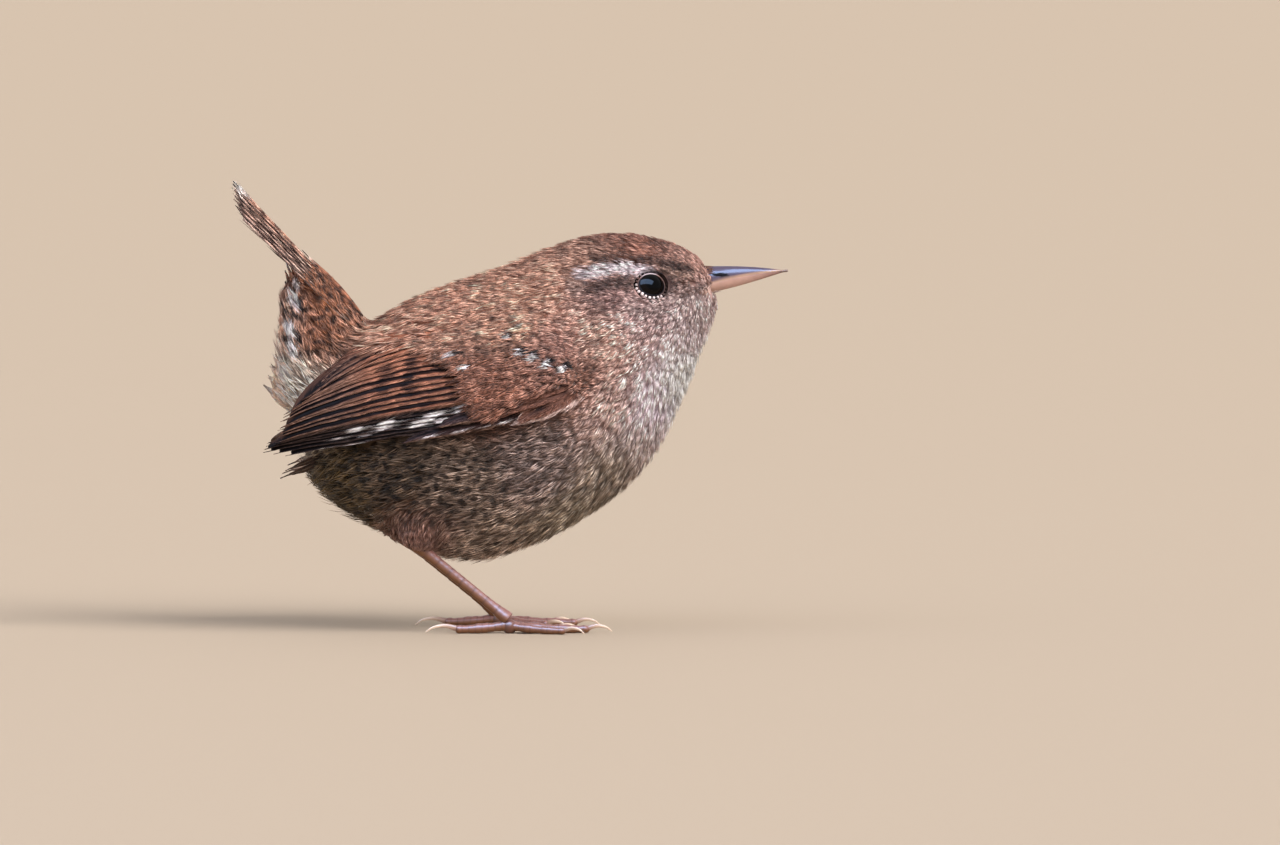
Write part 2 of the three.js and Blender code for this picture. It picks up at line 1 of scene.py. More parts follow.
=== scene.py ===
# A life-size wren standing with its tail cocked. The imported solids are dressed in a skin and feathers.
# Sizes are in millimetres with the bill towards +X and the floor at z = 0, and meshes are made in metres.
import math

import bmesh
import bpy
import numpy as np
from mathutils import Matrix, Vector
from mathutils.bvhtree import BVHTree


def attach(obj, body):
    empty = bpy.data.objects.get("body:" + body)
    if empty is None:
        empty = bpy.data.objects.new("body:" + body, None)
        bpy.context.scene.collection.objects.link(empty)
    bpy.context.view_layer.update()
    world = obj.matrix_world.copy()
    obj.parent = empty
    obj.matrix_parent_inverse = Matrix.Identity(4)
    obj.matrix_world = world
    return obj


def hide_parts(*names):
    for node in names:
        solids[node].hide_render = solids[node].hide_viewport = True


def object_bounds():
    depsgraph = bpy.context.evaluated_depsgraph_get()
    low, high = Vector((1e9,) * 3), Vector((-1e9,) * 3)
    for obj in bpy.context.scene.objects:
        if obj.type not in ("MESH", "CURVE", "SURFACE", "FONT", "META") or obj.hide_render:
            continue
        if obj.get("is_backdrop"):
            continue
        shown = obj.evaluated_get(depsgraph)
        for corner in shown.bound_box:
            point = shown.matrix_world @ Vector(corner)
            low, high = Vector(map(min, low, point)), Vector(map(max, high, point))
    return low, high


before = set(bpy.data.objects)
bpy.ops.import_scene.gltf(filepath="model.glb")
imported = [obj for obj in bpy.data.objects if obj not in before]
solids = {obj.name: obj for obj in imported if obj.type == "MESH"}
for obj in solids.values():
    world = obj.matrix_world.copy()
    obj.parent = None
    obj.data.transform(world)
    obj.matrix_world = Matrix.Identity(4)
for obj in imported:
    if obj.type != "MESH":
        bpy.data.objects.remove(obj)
solids_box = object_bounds()

MM = 0.001
PER_METRE = 1000
RIGHT, LEFT = -1, 1
SIDES = {"right": RIGHT, "left": LEFT}
draw = np.random.default_rng(7)


def linear(rgb):
    """A paint colour, given as 0 to 255 for the screen, as light."""
    c = np.asarray(rgb, float) / 255
    return np.where(c <= 0.04045, c / 12.92, ((c + 0.055) / 1.055) ** 2.4)


def mix(a, b, t):
    return a + (b - a) * t


def smooth(t):
    t = np.clip(t, 0, 1)
    return t * t * (3 - 2 * t)


def unit(v):
    return v / np.maximum(np.linalg.norm(v, axis=-1, keepdims=True), 1e-9)


def laid(below, colour, cover):
    """A colour laid over those below it, as far as it covers them at each place."""
    return mix(below, colour, cover[:, None])


def in_scene(name, data):
    """A new object in the scene."""
    thing = bpy.data.objects.new(name, data)
    bpy.context.scene.collection.objects.link(thing)
    return thing


# Camera

SENSOR = 36
VIEW_WIDTH = 189.63  # what the frame takes in at the bird
AIM = (18.96, 0, 30.78)
DISTANCE = 2100
ELEVATION = 3

camera_data = bpy.data.cameras.new("camera")
camera_data.sensor_width = SENSOR
camera_data.lens = SENSOR * DISTANCE / VIEW_WIDTH
camera_data.clip_start = 0.05
camera_data.clip_end = 50
camera = in_scene("camera", camera_data)
tilt = math.radians(ELEVATION)
away = Vector((0, -math.cos(tilt), math.sin(tilt))) * DISTANCE
camera.location = (Vector(AIM) + away) * MM
camera.rotation_euler = (math.pi / 2 - tilt, 0, 0)
bpy.context.scene.camera = camera
bpy.context.scene.view_settings.view_transform = "Standard"


# Making pieces


def finished(name, mesh, material, slot, replaces=()):
    """A mesh in metres as a piece that rides on the body."""
    mesh.name = name
    piece = in_scene(name, mesh)
    mesh.materials.append(material)
    mesh.shade_smooth()
    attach(piece, "root")
    if replaces:
        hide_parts(*replaces)
    return piece


def shaped(name, bm, material, slot, replaces=(), subdivide=0):
    """A bmesh in millimetres as a piece, with its faces turned out."""
    bmesh.ops.recalc_face_normals(bm, faces=bm.faces)
    bmesh.ops.scale(bm, vec=(MM, MM, MM), verts=bm.verts)
    mesh = bpy.data.meshes.new(name)
    bm.to_mesh(mesh)
    bm.free()
    piece = finished(name, mesh, material, slot, replaces)
    if subdivide:
        finer = piece.modifiers.new("finer", "SUBSURF")
        finer.levels = finer.render_levels = subdivide
    return piece


def mesh_from(points, faces, colours, patches=None):
    """A painted triangle mesh from arrays in millimetres. Patches are its unwrap, by vertex or by corner."""
    mesh = bpy.data.meshes.new("feathers")
    mesh.vertices.add(len(points))
    mesh.vertices.foreach_set("co", (points * MM).astype(np.float32).ravel())
    mesh.loops.add(faces.size)
    mesh.loops.foreach_set("vertex_index", faces.astype(np.int32).ravel())
    mesh.polygons.add(len(faces))
    mesh.polygons.foreach_set("loop_start", np.arange(0, faces.size, 3, dtype=np.int32))
    mesh.update(calc_edges=True)
    paint(mesh, colours)
    if patches is not None:
        layer = mesh.uv_layers.new(name="OFBake")
        if len(patches) != faces.size:
            patches = patches[faces.ravel()]
        layer.data.foreach_set("uv", patches.astype(np.float32).ravel())
    return mesh


def paint(mesh, colours):
    """The colour of each vertex, as light."""
    layer = mesh.color_attributes.new("tone", "FLOAT_COLOR", "POINT")
    rgba = np.ones((len(colours), 4), np.float32)
    rgba[:, :3] = np.clip(colours, 0, 1)
    layer.data.foreach_set("color", rgba.ravel())


def places_of(piece):
    """The places of a piece's vertices in millimetres."""
    return np.array([v.co for v in piece.data.vertices]) * PER_METRE


def smoothed(bm, rounds):
    for _ in range(rounds):
        bmesh.ops.smooth_vert(
            bm, verts=bm.verts, factor=0.5, use_axis_x=True, use_axis_y=True, use_axis_z=True)


def copied(*names):
    """The named solids as one bmesh in millimetres, with their loose triangles merged."""
    bm = bmesh.new()
    for name in names:
        bm.from_mesh(solids[name].data)
    bmesh.ops.scale(bm, vec=(PER_METRE, PER_METRE, PER_METRE), verts=bm.verts)
    bmesh.ops.remove_doubles(bm, verts=bm.verts, dist=0.001)
    return bm


def tube(bm, rings, sides=16, shape=None):
    """A closed tube through rings given as [centre, half depth, half width], the last two as vectors.
    shape(i, deep, wide) may move a ring's points, which start on a unit circle."""
    loops = []
    for i, (centre, deep, wide) in enumerate(rings):
        turn = Matrix.Identity(4)
        normal = Vector(deep).cross(Vector(wide)).normalized()
        for column, axis in enumerate((deep, wide, normal, centre)):
            for row in range(3):
                turn[row][column] = axis[row]
        ends = i in (0, len(rings) - 1)
        made = bmesh.ops.create_circle(bm, cap_ends=ends, segments=sides, radius=1)["verts"]
        if shape:
            for v in made:
                v.co.x, v.co.y = shape(i, v.co.x, v.co.y)
        bmesh.ops.transform(bm, matrix=turn, verts=made)
        loops.append(made)
    for near, far in zip(loops, loops[1:]):
        pair = set(near) | set(far)
        edges = {e for v in pair for e in v.link_edges}
        rims = [e for e in edges if (e.verts[0] in near) == (e.verts[1] in near)
                and e.verts[0] in pair and e.verts[1] in pair]
        bmesh.ops.bridge_loops(bm, edges=rims)


# The shape under the feathers


class Surface:
    """A closed surface in millimetres, asked for the nearest place to rest on."""

    def __init__(self, bm):
        bmesh.ops.triangulate(bm, faces=bm.faces)
        bm.normal_update()
        self.points = np.array([v.co for v in bm.verts])
        self.normals = np.array([v.normal for v in bm.verts])
        self.faces = np.array([[v.index for v in f.verts] for f in bm.faces])
        self.tree = BVHTree.FromBMesh(bm)
        bm.free()

    def under(self, points):
        """The nearest places on the surface and its smooth normals there."""
        flat = points.reshape(-1, 3)
        places = np.empty_like(flat)
        hit = np.empty(len(flat), int)
        nearest = self.tree.find_nearest
        for i, p in enumerate(flat.tolist()):
            place, _, face, _ = nearest(p)
            places[i] = place
            hit[i] = face
        a, b, c = (self.points[self.faces[hit, k]] for k in range(3))
        shares = np.stack([area(b, c, places), area(c, a, places), area(a, b, places)], 1)
        shares /= np.maximum(shares.sum(1, keepdims=True), 1e-9)
        normals = (self.normals[self.faces[hit]] * shares[:, :, None]).sum(1)
        return places.reshape(points.shape), unit(normals).reshape(points.shape)

    def scattered(self, count):
        """Random places on the surface, as even as its area."""
        a, b, c = (self.points[self.faces[:, k]] for k in range(3))
        sizes = area(a, b, c)
        chosen = draw.choice(len(sizes), count, p=sizes / sizes.sum())
        u, v = draw.random((2, count, 1))
        fold = u + v > 1
        u, v = np.where(fold, 1 - u, u), np.where(fold, 1 - v, v)
        return a[chosen] + (b[chosen] - a[chosen]) * u + (c[chosen] - a[chosen]) * v


def area(a, b, c):
    """The area of each triangle."""
    return np.linalg.norm(np.cross(b - a, c - a), axis=1) / 2


GROWTH = 0.2  # closes the thin cuts between the solids


def fused(bm, voxel, rounds):
    """The pieces of a bmesh grown over their gaps, joined into one skin and smoothed."""
    bm.normal_update()
    for v in bm.verts:
        v.co += v.normal * GROWTH
    rough = bpy.data.meshes.new("rough")
    bm.to_mesh(rough)
    bm.free()
    holder = in_scene("rough", rough)
    remesh = holder.modifiers.new("remesh", "REMESH")
    remesh.mode = "VOXEL"
    remesh.voxel_size = voxel
    ready = holder.evaluated_get(bpy.context.evaluated_depsgraph_get())
    whole = bmesh.new()
    whole.from_mesh(ready.to_mesh())
    ready.to_mesh_clear()
    bpy.data.objects.remove(holder)
    bpy.data.meshes.remove(rough)
    smoothed(whole, rounds)
    return whole


TAIL_NECK = (-31.0, 0, 53.0)  # where the cone of coverts gives way to the tail feathers
TAIL_AHEAD = (-0.68, 0, 0.73)

flesh = ("head", "neck", "torso", "thigh_right", "thigh_left")
cone = copied("tail")
bmesh.ops.bisect_plane(
    cone, geom=cone.verts[:] + cone.edges[:] + cone.faces[:], plane_co=TAIL_NECK,
    plane_no=TAIL_AHEAD, clear_outer=True)
bmesh.ops.holes_fill(cone, edges=[e for e in cone.edges if e.is_boundary])
cone_mesh = bpy.data.meshes.new("cone")
cone.to_mesh(cone_mesh)
cone.free()

trunk = copied(*flesh)
trunk.from_mesh(cone_mesh)
trunk_with_wings = copied(*flesh, "wing_right", "wing_left")
trunk_with_wings.from_mesh(cone_mesh)
bpy.data.meshes.remove(cone_mesh)

body_skin = fused(trunk, voxel=0.45, rounds=8)
body = Surface(body_skin.copy())
outer = Surface(fused(trunk_with_wings, voxel=0.55, rounds=12))

# Plumage

# Each part of the plumage as seen from the side: where it is [x, z], the way its feathers lie, their length,
# the depth of the coat, how far the tips stand out, the colour, the dark colour of its bars, the strength of
# the bars, the strength of the mottling and the piece it belongs to.
PLUMAGE = {
    "forehead": ((27.0, 54.8), (-1, 0.6), 1.8, 0.45, 0.05,
        (189, 140, 124), (98, 63, 50), 0.1, 0.34, "crown"),
    "crown": ((19.0, 57.6), (-1, 0.12), 3.0, 0.8, 0.08,
        (161, 107, 88), (91, 47, 34), 0.15, 0.24, "crown"),
    "nape": ((10.8, 55.0), (-1, -0.2), 3.2, 1.2, 0.12,
        (172, 129, 111), (100, 65, 50), 0.15, 0.24, "crown"),
    "lore": ((25.8, 52.4), (-0.95, -0.25), 1.2, 0.4, 0.06,
        (116, 80, 67), (56, 34, 23), 0.0, 0.45, "face"),
    "ear coverts": ((14.5, 50.6), (-1, -0.25), 2.7, 0.8, 0.1,
        (174, 135, 130), (93, 64, 58), 0.2, 0.38, "face"),
    "cheek": ((20.0, 46.4), (-0.75, -0.66), 2.5, 0.7, 0.12,
        (214, 180, 178), (105, 74, 69), 0.2, 0.4, "face"),
    "chin": ((27.6, 48.2), (-0.5, -0.85), 1.8, 0.6, 0.45,
        (227, 202, 201), (156, 130, 127), 0.1, 0.21, "face"),
    "throat": ((26.4, 43.4), (-0.45, -0.9), 2.8, 0.8, 0.3,
        (237, 214, 218), (172, 144, 141), 0.1, 0.18, "face"),
    "neck side": ((12.4, 43.6), (-0.85, -0.52), 3.4, 1.2, 0.12,
        (231, 186, 170), (138, 97, 84), 0.3, 0.28, "neck"),
    "breast side": ((14.4, 34.4), (-0.75, -0.66), 3.6, 1.5, 0.12,
        (219, 184, 176), (142, 110, 100), 0.15, 0.26, "breast"),
    "breast": ((21.6, 33.4), (-0.5, -0.86), 3.8, 1.5, 0.22,
        (243, 225, 240), (186, 149, 151), 0.1, 0.14, "breast"),
    "breast middle": ((25.4, 37.6), (-0.3, -0.95), 3.6, 1.4, 0.25,
        (249, 249, 249), (200, 175, 175), 0.05, 0.14, "breast"),
    "breast below": ((19.6, 28.2), (-0.66, -0.72), 3.9, 1.5, 0.18,
        (204, 184, 182), (124, 104, 98), 0.2, 0.17, "breast"),
    "lower breast": ((15.4, 23.6), (-0.82, -0.57), 4.0, 1.6, 0.14,
        (170, 152, 137), (103, 86, 76), 0.35, 0.26, "breast"),
    "belly front": ((9.6, 16.6), (-0.96, -0.28), 4.6, 1.7, 0.16,
        (181, 164, 145), (104, 85, 74), 0.45, 0.28, "belly"),
    "belly": ((-3.0, 12.4), (-1, -0.05), 5.0, 1.7, 0.4,
        (188, 163, 146), (66, 51, 43), 0.6, 0.3, "belly"),
    "flank front": ((4.4, 26.0), (-0.98, -0.2), 4.4, 1.6, 0.12,
        (170, 147, 141), (66, 53, 48), 0.6, 0.3, "flank"),
    "flank": ((-7.0, 22.4), (-1, 0.02), 4.6, 1.6, 0.14,
        (145, 122, 108), (33, 26, 18), 0.95, 0.34, "flank"),
    "flank rear": ((-17.0, 22.6), (-0.96, -0.22), 4.8, 1.6, 0.4,
        (108, 87, 69), (21, 13, 7), 0.95, 0.36, "flank"),
    "vent": ((-24.6, 21.0), (-0.9, -0.42), 5.4, 1.5, 0.95,
        (100, 80, 49), (23, 15, 6), 0.7, 0.36, "flank"),
    "mantle": ((2.6, 53.0), (-1, -0.22), 3.8, 1.5, 0.12,
        (218, 164, 141), (144, 100, 82), 0.45, 0.22, "back"),
    "back": ((-9.2, 49.6), (-1, -0.3), 4.2, 1.5, 0.14,
        (227, 169, 145), (144, 100, 83), 0.5, 0.24, "back"),
    "rump": ((-20.0, 43.6), (-0.9, -0.42), 4.6, 1.4, 0.16,
        (211, 156, 132), (134, 90, 71), 0.45, 0.26, "back"),
    "shoulder": ((7.6, 42.4), (-0.97, -0.3), 3.0, 0.8, 0.08,
        (188, 135, 121), (108, 75, 64), 0.4, 0.3, "shoulder"),
    "wing front": ((10.6, 37.8), (-1, -0.1), 2.6, 0.8, 0.06,
        (155, 105, 85), (87, 56, 44), 0.3, 0.34, "shoulder"),
    "wing coverts": ((-1.6, 36.4), (-1, -0.3), 3.4, 0.6, 0.03,
        (153, 100, 80), (67, 42, 32), 0.25, 0.4, "shoulder"),
    "scapular": ((0.6, 46.4), (-1, -0.36), 3.8, 1.3, 0.12,
        (231, 174, 149), (134, 95, 80), 0.6, 0.24, "back"),
    "tail root": ((-28.4, 44.4), (-0.5, 0.86), 3.8, 1.0, 0.14,
        (156, 98, 67), (55, 30, 20), 0.8, 0.3, "rump"),
    "upper tail": ((-27.4, 50.6), (-0.66, 0.75), 3.4, 0.9, 0.35,
        (160, 100, 67), (55, 30, 20), 0.8, 0.3, "rump"),
    "under tail": ((-34.6, 46.0), (-0.2, 0.98), 3.8, 0.9, 0.25,
        (198, 157, 140), (64, 44, 38), 0.8, 0.3, "rump"),
    "fluff": ((-32.4, 36.0), (-0.6, 0.6), 5.0, 1.1, 0.9,
        (249, 233, 219), (145, 108, 96), 0.4, 0.3, "rump"),
    "thigh": ((-14.6, 13.4), (-0.1, -0.95), 2.4, 0.8, 0.1,
        (150, 110, 98), (71, 50, 43), 0.3, 0.2, "thigh"),
}
# Markings painted over the head: the line each follows [x, z], its half width, strength and colour
MARKINGS = {
    "brow": ([(10.2, 53.2), (12.6, 53.6), (16.0, 54.2), (19.0, 53.7), (20.6, 53.3)], 0.8, 0.92,
             (232, 214, 222)),
    "behind the brow": ([(6.6, 52.2), (9.6, 51.0)], 0.9, 0.35, (206, 180, 172)),
    "brow in front": ([(22.4, 53.7), (26.6, 52.9)], 0.4, 0.45, (190, 156, 140)),
    "eye line": ([(17.9, 51.7), (15.0, 51.8), (11.6, 51.1)], 0.8, 0.8, (70, 48, 42)),
    "dark lore": ([(22.6, 52.9), (23.4, 51.6), (23.0, 50.6)], 0.7, 0.7, (66, 46, 40)),
    "crown edge": ([(12.0, 55.3), (16.7, 55.5), (21.4, 55.0), (26.4, 53.7)], 0.5, 0.8, (72, 46, 38)),
    "under the eye": ([(17.2, 48.4), (19.6, 47.6), (22.4, 48.2)], 0.6, 0.5, (186, 160, 156)),
    "cheek edge": ([(12.6, 47.6), (16.4, 45.4), (20.4, 43.2)], 0.5, 0.5, (96, 66, 56)),
    "bill corner": ([(25.0, 49.9), (27.4, 50.7), (29.4, 51.6)], 0.4, 0.6, (86, 62, 52)),
    "gape": ([(28.4, 50.3), (29.6, 50.7)], 0.36, 0.8, (190, 152, 136)),
}
# Marks painted on the plumage: place [x, z], half length and half height
COVERT_TIPS = [(3.0, 41.2, 0.66, 0.6), (5.05, 40.3, 0.7, 0.55), (7.5, 39.6, 0.68, 0.5), (1.2, 42.0, 0.5, 0.4),
               (-0.6, 44.4, 0.45, 0.35), (-9.0, 41.6, 0.8, 0.26), (-7.1, 39.7, 0.55, 0.26)]
UNDER_TAIL_WHITE = [(-33.8, 54.4, 0.5, 1.1), (-31.8, 51.3, 0.55, 0.7), (-32.2, 49.0, 0.65, 1.4),
                    (-32.8, 44.7, 0.7, 1.3), (-32.4, 41.6, 0.6, 1.2)]
UNDER_TAIL_DARK = [(-33.4, 52.2, 0.5, 0.7), (-31.2, 48.2, 0.45, 0.9), (-33.6, 47.4, 0.45, 0.8),
                   (-32.4, 46.8, 0.6, 0.5), (-33.3, 43.1, 0.45, 0.5), (-31.5, 43.4, 0.4, 0.8)]
# The dark mark behind the white one at each covert's tip
COVERT_DARK = [(x + long * 0.9, z + high * 0.7, long * 1.2, high * 1.2) for x, z, long, high in COVERT_TIPS]
MARKS = ((COVERT_DARK + UNDER_TAIL_DARK, (34, 24, 22)), (COVERT_TIPS + UNDER_TAIL_WHITE, (236, 226, 236)))
BRIGHTEN = 1.3  # the feathers shade each other, so their own colour is lighter than what is seen


def table(column):
    """One column of the plumage's table."""
    return np.array([row[column] for row in PLUMAGE.values()], float)


def seen_from_the_side(x, z):
    """The place on the right of the body at x, z, as the side view shows it."""
    place, _, _, _ = body.tree.ray_cast(Vector((x, -60, z)), Vector((0, 1, 0)))
    if place is None:
        place, _, _, _ = body.tree.find_nearest(Vector((x, -3, z)))
    return place


CENTRES = np.array([seen_from_the_side(*row[0]) for row in PLUMAGE.values()])
COLOURS = linear(table(5)) * BRIGHTEN
DARKS = linear(table(6)) * BRIGHTEN
LIES = table(1)
NUMBERS = np.stack([table(2), table(3), table(4), table(7), table(8)], 1)


def shares(points, soft=5.0):
    """How much each part of the plumage counts at each place, the same on both sides."""
    right = points.copy()
    right[:, 1] = -np.abs(right[:, 1])
    apart = ((right[:, None] - CENTRES[None]) ** 2).sum(2)
    near = np.exp(-(apart - apart.min(1, keepdims=True)) / (2 * soft**2))
    near *= 1 / (apart + 2)
    return near / near.sum(1, keepdims=True)


def stroke(points, line):
    """The distance from a line drawn on the side of the head, in the side view."""
    at = points[:, [0, 2]]
    best = np.full(len(at), 99.0)
    for start, end in zip(line, line[1:]):
        a, run = np.array(start), np.array(end) - np.array(start)
        t = np.clip(((at - a) @ run) / (run @ run), 0, 1)
        best = np.minimum(best, np.linalg.norm(at - a - t[:, None] * run, axis=1))
    return best


CLOUD_WAYS = unit(draw.normal(0, 1, (9, 3))) * draw.uniform(0.7, 1.4, (9, 1))


def cloud(points, size):
    """Soft random light and dark over the body, the same on both sides, mostly between -1 and 1."""
    right = points * (1, 0, 1) + np.abs(points) * (0, 1, 0)
    return np.sin(right @ CLOUD_WAYS.T * (3 / size) + np.arange(9) * 1.7).sum(1) / 3


def off_mark(x, z, mark, lean):
    """How far places are from the middle of a slanting oval mark, as a share of its size."""
    at_x, at_z, half_long, half_high = mark
    along, up = x - at_x, z - at_z
    return np.hypot((along + lean * up) / half_long, (up - lean * along) / half_high)


def colours_at(points):
    """The colour of the plumage and of its dark bars."""
    weight = shares(points)
    light, dark = weight @ COLOURS, weight @ DARKS
    uneven = np.exp(0.1 * cloud(points, 5.0) + 0.13 * cloud(points, 1.7))[:, None]
    light, dark = light * uneven, dark * uneven
    on_head = (points[:, 0] > 8) & (np.abs(points[:, 1]) > 1.5)
    for line, half, strength, colour in MARKINGS.values():
        cover = strength * (1 - smooth((stroke(points, line) - half * 0.6) / (half * 0.9))) * on_head
        light = laid(light, linear(colour) * BRIGHTEN, cover)
        dark = laid(dark, linear(colour) * BRIGHTEN * 0.75, cover)
    aside = np.abs(points[:, 1]) > np.where(points[:, 0] > -12, 9, 0.4)
    for marks, colour in MARKS:
        for mark in marks:
            off = off_mark(points[:, 0], points[:, 2], mark, 0.3)
            cover = (1 - smooth((off - 0.92) / 0.4)) * aside
            light, dark = (laid(c, linear(colour) * BRIGHTEN * 1.15, cover) for c in (light, dark))
    return light, dark


def lie_at(points, normals):
    """The way the feathers lie along the surface."""
    flat = shares(points, 6.0) @ LIES
    way = np.stack([flat[:, 0], np.zeros(len(flat)), flat[:, 1]], 1)
    way -= normals * (way * normals).sum(1, keepdims=True)
    return unit(way)


UNWRAP_FROM = np.array((-30.0, 0, 32.0))
UNWRAP_TO = np.array((30.0, 0, 50.0))


def unwrapped(points):
    """The place of each point on an unwrap of the skin round the body's long axis."""
    run = UNWRAP_TO - UNWRAP_FROM
    span = np.linalg.norm(run)
    run = run / span
    up = np.array((-run[2], 0, run[0]))
    off = points - UNWRAP_FROM
    along = off @ run / span
    round_it = np.arctan2(off[:, 1], off @ up) / (2 * math.pi) + 0.5
    return np.stack([0.02 + 0.96 * round_it, np.clip(0.1 + 0.8 * along, 0.01, 0.98)], 1)


# The coat

STEPS = 4  # a feather's shaft follows the body in this many steps
CELL = 1.6  # about as wide as the widest spacing


def thinned(points, spacing):
    """The places that keep their distance from the ones before them."""
    taken = {}
    kept = []
    cells = np.floor(points / CELL).astype(int).tolist()
    around = [(i, j, k) for i in (-1, 0, 1) for j in (-1, 0, 1) for k in (-1, 0, 1)]
    for n, ((x, y, z), (i, j, k), gap) in enumerate(zip(points.tolist(), cells, spacing.tolist())):
        near = (place for di, dj, dk in around for place in taken.get((i + di, j + dj, k + dk), ()))
        if all((px - x) ** 2 + (py - y) ** 2 + (pz - z) ** 2 >= gap * gap for px, py, pz in near):
            taken.setdefault((i, j, k), []).append((x, y, z))
            kept.append(n)
    return np.array(kept)


def shafts(surface, roots, length):
    """The line of each feather's shaft over the surface, with normals and sideways directions."""
    places, normals = surface.under(roots)
    line, out, side = [places], [normals], []
    for _ in range(STEPS):
        ahead = lie_at(places, normals)
        side.append(np.cross(normals, ahead))
        places, normals = surface.under(places + ahead * (length / STEPS)[:, None])
        line.append(places)
        out.append(normals)
    side.append(np.cross(normals, lie_at(places, normals)))
    return np.stack(line, 1), np.stack(out, 1), np.stack(side, 1)


def along_shaft(line, owner, s):
    """Points along the shafts of the owners at share s."""
    at = np.clip(s, 0, 1) * STEPS
    step = np.minimum(at.astype(int), STEPS - 1)
    t = (at - step)[:, None]
    past = (np.maximum(s - 1, 0) * STEPS)[:, None]
    a, b = line[owner, step], line[owner, step + 1]
    return mix(a, b, t + past)


CLUMPS = 6  # the clumps of barbs in a feather
CLUMP_BARBS = 4  # barbs that come together in one tip
BARB_SHARE = 0.62  # the length of a barb as a share of its feather's
HALF_WIDTH = 0.36  # half the width of a feather as a share of its length

# A barb has a root, three points round its middle and a tip
BARB_FACES = np.array([[0, 2, 1], [0, 3, 2], [0, 1, 3], [4, 1, 2], [4, 2, 3], [4, 3, 1]])
BARB_POINTS = 5


def spindles(count):
    """The faces of barbs."""
    return (np.arange(count)[:, None, None] * BARB_POINTS + BARB_FACES).reshape(-1, 3)


def feathers(surface, roots, length, depth, rise, thickness):
    """Loose-edged feathers as fans of barbs in clumps. Returns points, faces, each barb's feather, clump,
    how far it stands out, its middle, and the shares of the feather's length and width at its tip."""
    line, out, side = shafts(surface, roots, length)
    count = len(roots)
    bunches = count * CLUMPS
    n = bunches * CLUMP_BARBS
    owner = np.repeat(np.arange(count), CLUMPS * CLUMP_BARBS)
    bunch = np.repeat(np.arange(bunches), CLUMP_BARBS)
    order = ((bunch % CLUMPS) + 0.5) / CLUMPS
    hand = np.where(bunch % 2, 1.0, -1.0)
    member = np.tile(np.linspace(-1, 1, CLUMP_BARBS), bunches)
    reach = mix(0.5, 1.0, order) + draw.normal(0, 0.04, bunches)[bunch] + draw.normal(0, 0.04, n)
    start = reach - BARB_SHARE * draw.uniform(0.85, 1.1, n)
    half = (length * HALF_WIDTH)[owner]
    spread = hand * np.sqrt(np.clip(1.04 - order**2, 0, 1)) * draw.uniform(0.7, 1.1, bunches)[bunch]
    skew = draw.normal(0, 0.15, count)[owner] + draw.normal(0, 0.12, n)
    stand = draw.normal(0, 0.35, bunches)[bunch] + draw.normal(0, 0.4, n)
    deep = depth[owner]
    level = []
    for share_of, v, gather in ((0.0, 0.3, 0.26), (0.5, 0.75, 0.24), (1.0, 1.0, 0.12)):
        s = mix(start, reach, share_of)
        across = along_shaft(side, owner, s)
        sideways = spread * v + member * gather + skew * s
        place, normal = surface.under(along_shaft(line, owner, s) + across * (half * sideways)[:, None])
        lift = -0.85 * deep + (0.85 * deep + rise[owner] * (1 + stand)) * smooth(s * 0.62 + 0.35) ** 1.2
        lift += 0.1 * deep * stand * share_of - 0.05 * deep * v * v
        place = place + unit(normal + along_shaft(out, owner, s) * 0.3) * lift[:, None]
        level.append((place, normal))
    (p0, _), (p1, n1), (p2, _) = level
    flat = unit(np.cross(n1, unit(p2 - p0)))
    thick = (thickness[owner] * draw.uniform(0.7, 1.25, n))[:, None]
    corners = np.stack([p0, p1 + flat * thick, p1 - flat * thick, p1 - n1 * thick * 0.9, p2], 1)
    return corners.reshape(-1, 3), spindles(n), owner, bunch, stand, p1, reach, spread


def feather_colours(owner, bunch, stand, tip, v, bars, mottle, light, dark):
    """Painted shade at the roots, bars across the feather, and tones that differ by feather and by barb."""
    varied = mottle[owner]
    own = draw.normal(0, 1, owner.max() + 1)[owner] * varied * 0.7
    clump = draw.normal(0, 1, bunch.max() + 1)[bunch] * varied * 0.75
    # Barbs that stand out further are lighter and those that lie low darker, as painted shade.
    barb = 0.22 - np.abs(draw.normal(0, 1, len(owner))) * (0.24 + varied * 1.05) + 0.25 * stand
    at = tip - 0.06 * v * v + draw.normal(0, 0.015, len(owner))
    bar = np.exp(-(((at - 0.8) / 0.085) ** 2)) + np.exp(-(((at - 0.52) / 0.08) ** 2))
    colour = laid(light, dark, np.clip(0.6 * bar * bars[owner], 0, 1))
    tone = np.minimum(own + clump + barb, 0.5)
    colour *= np.exp(tone)[:, None]
    # The brightest barbs lose some of their colour towards a painted sheen.
    grey = colour.mean(1, keepdims=True) * (1.06, 0.99, 0.95)
    colour = laid(colour, grey, np.clip(tone * 0.4 + 0.04, 0, 0.22))
    # The root is darkened as painted shade under the feathers over it, the underside point a little as
    # painted shade, and the tip is paler.
    root_shaded = mix(colour, dark, 0.6) * 0.6
    five = np.stack([root_shaded, colour, colour, colour * 0.9, colour * 1.15], 1)
    return five.reshape(-1, 3)


COAT_SLOTS = {"crown": "plumage_crown", "face": "plumage_crown", "back": "plumage_wing",
              "rump": "plumage_tail", "thigh": "plumage_thigh"}


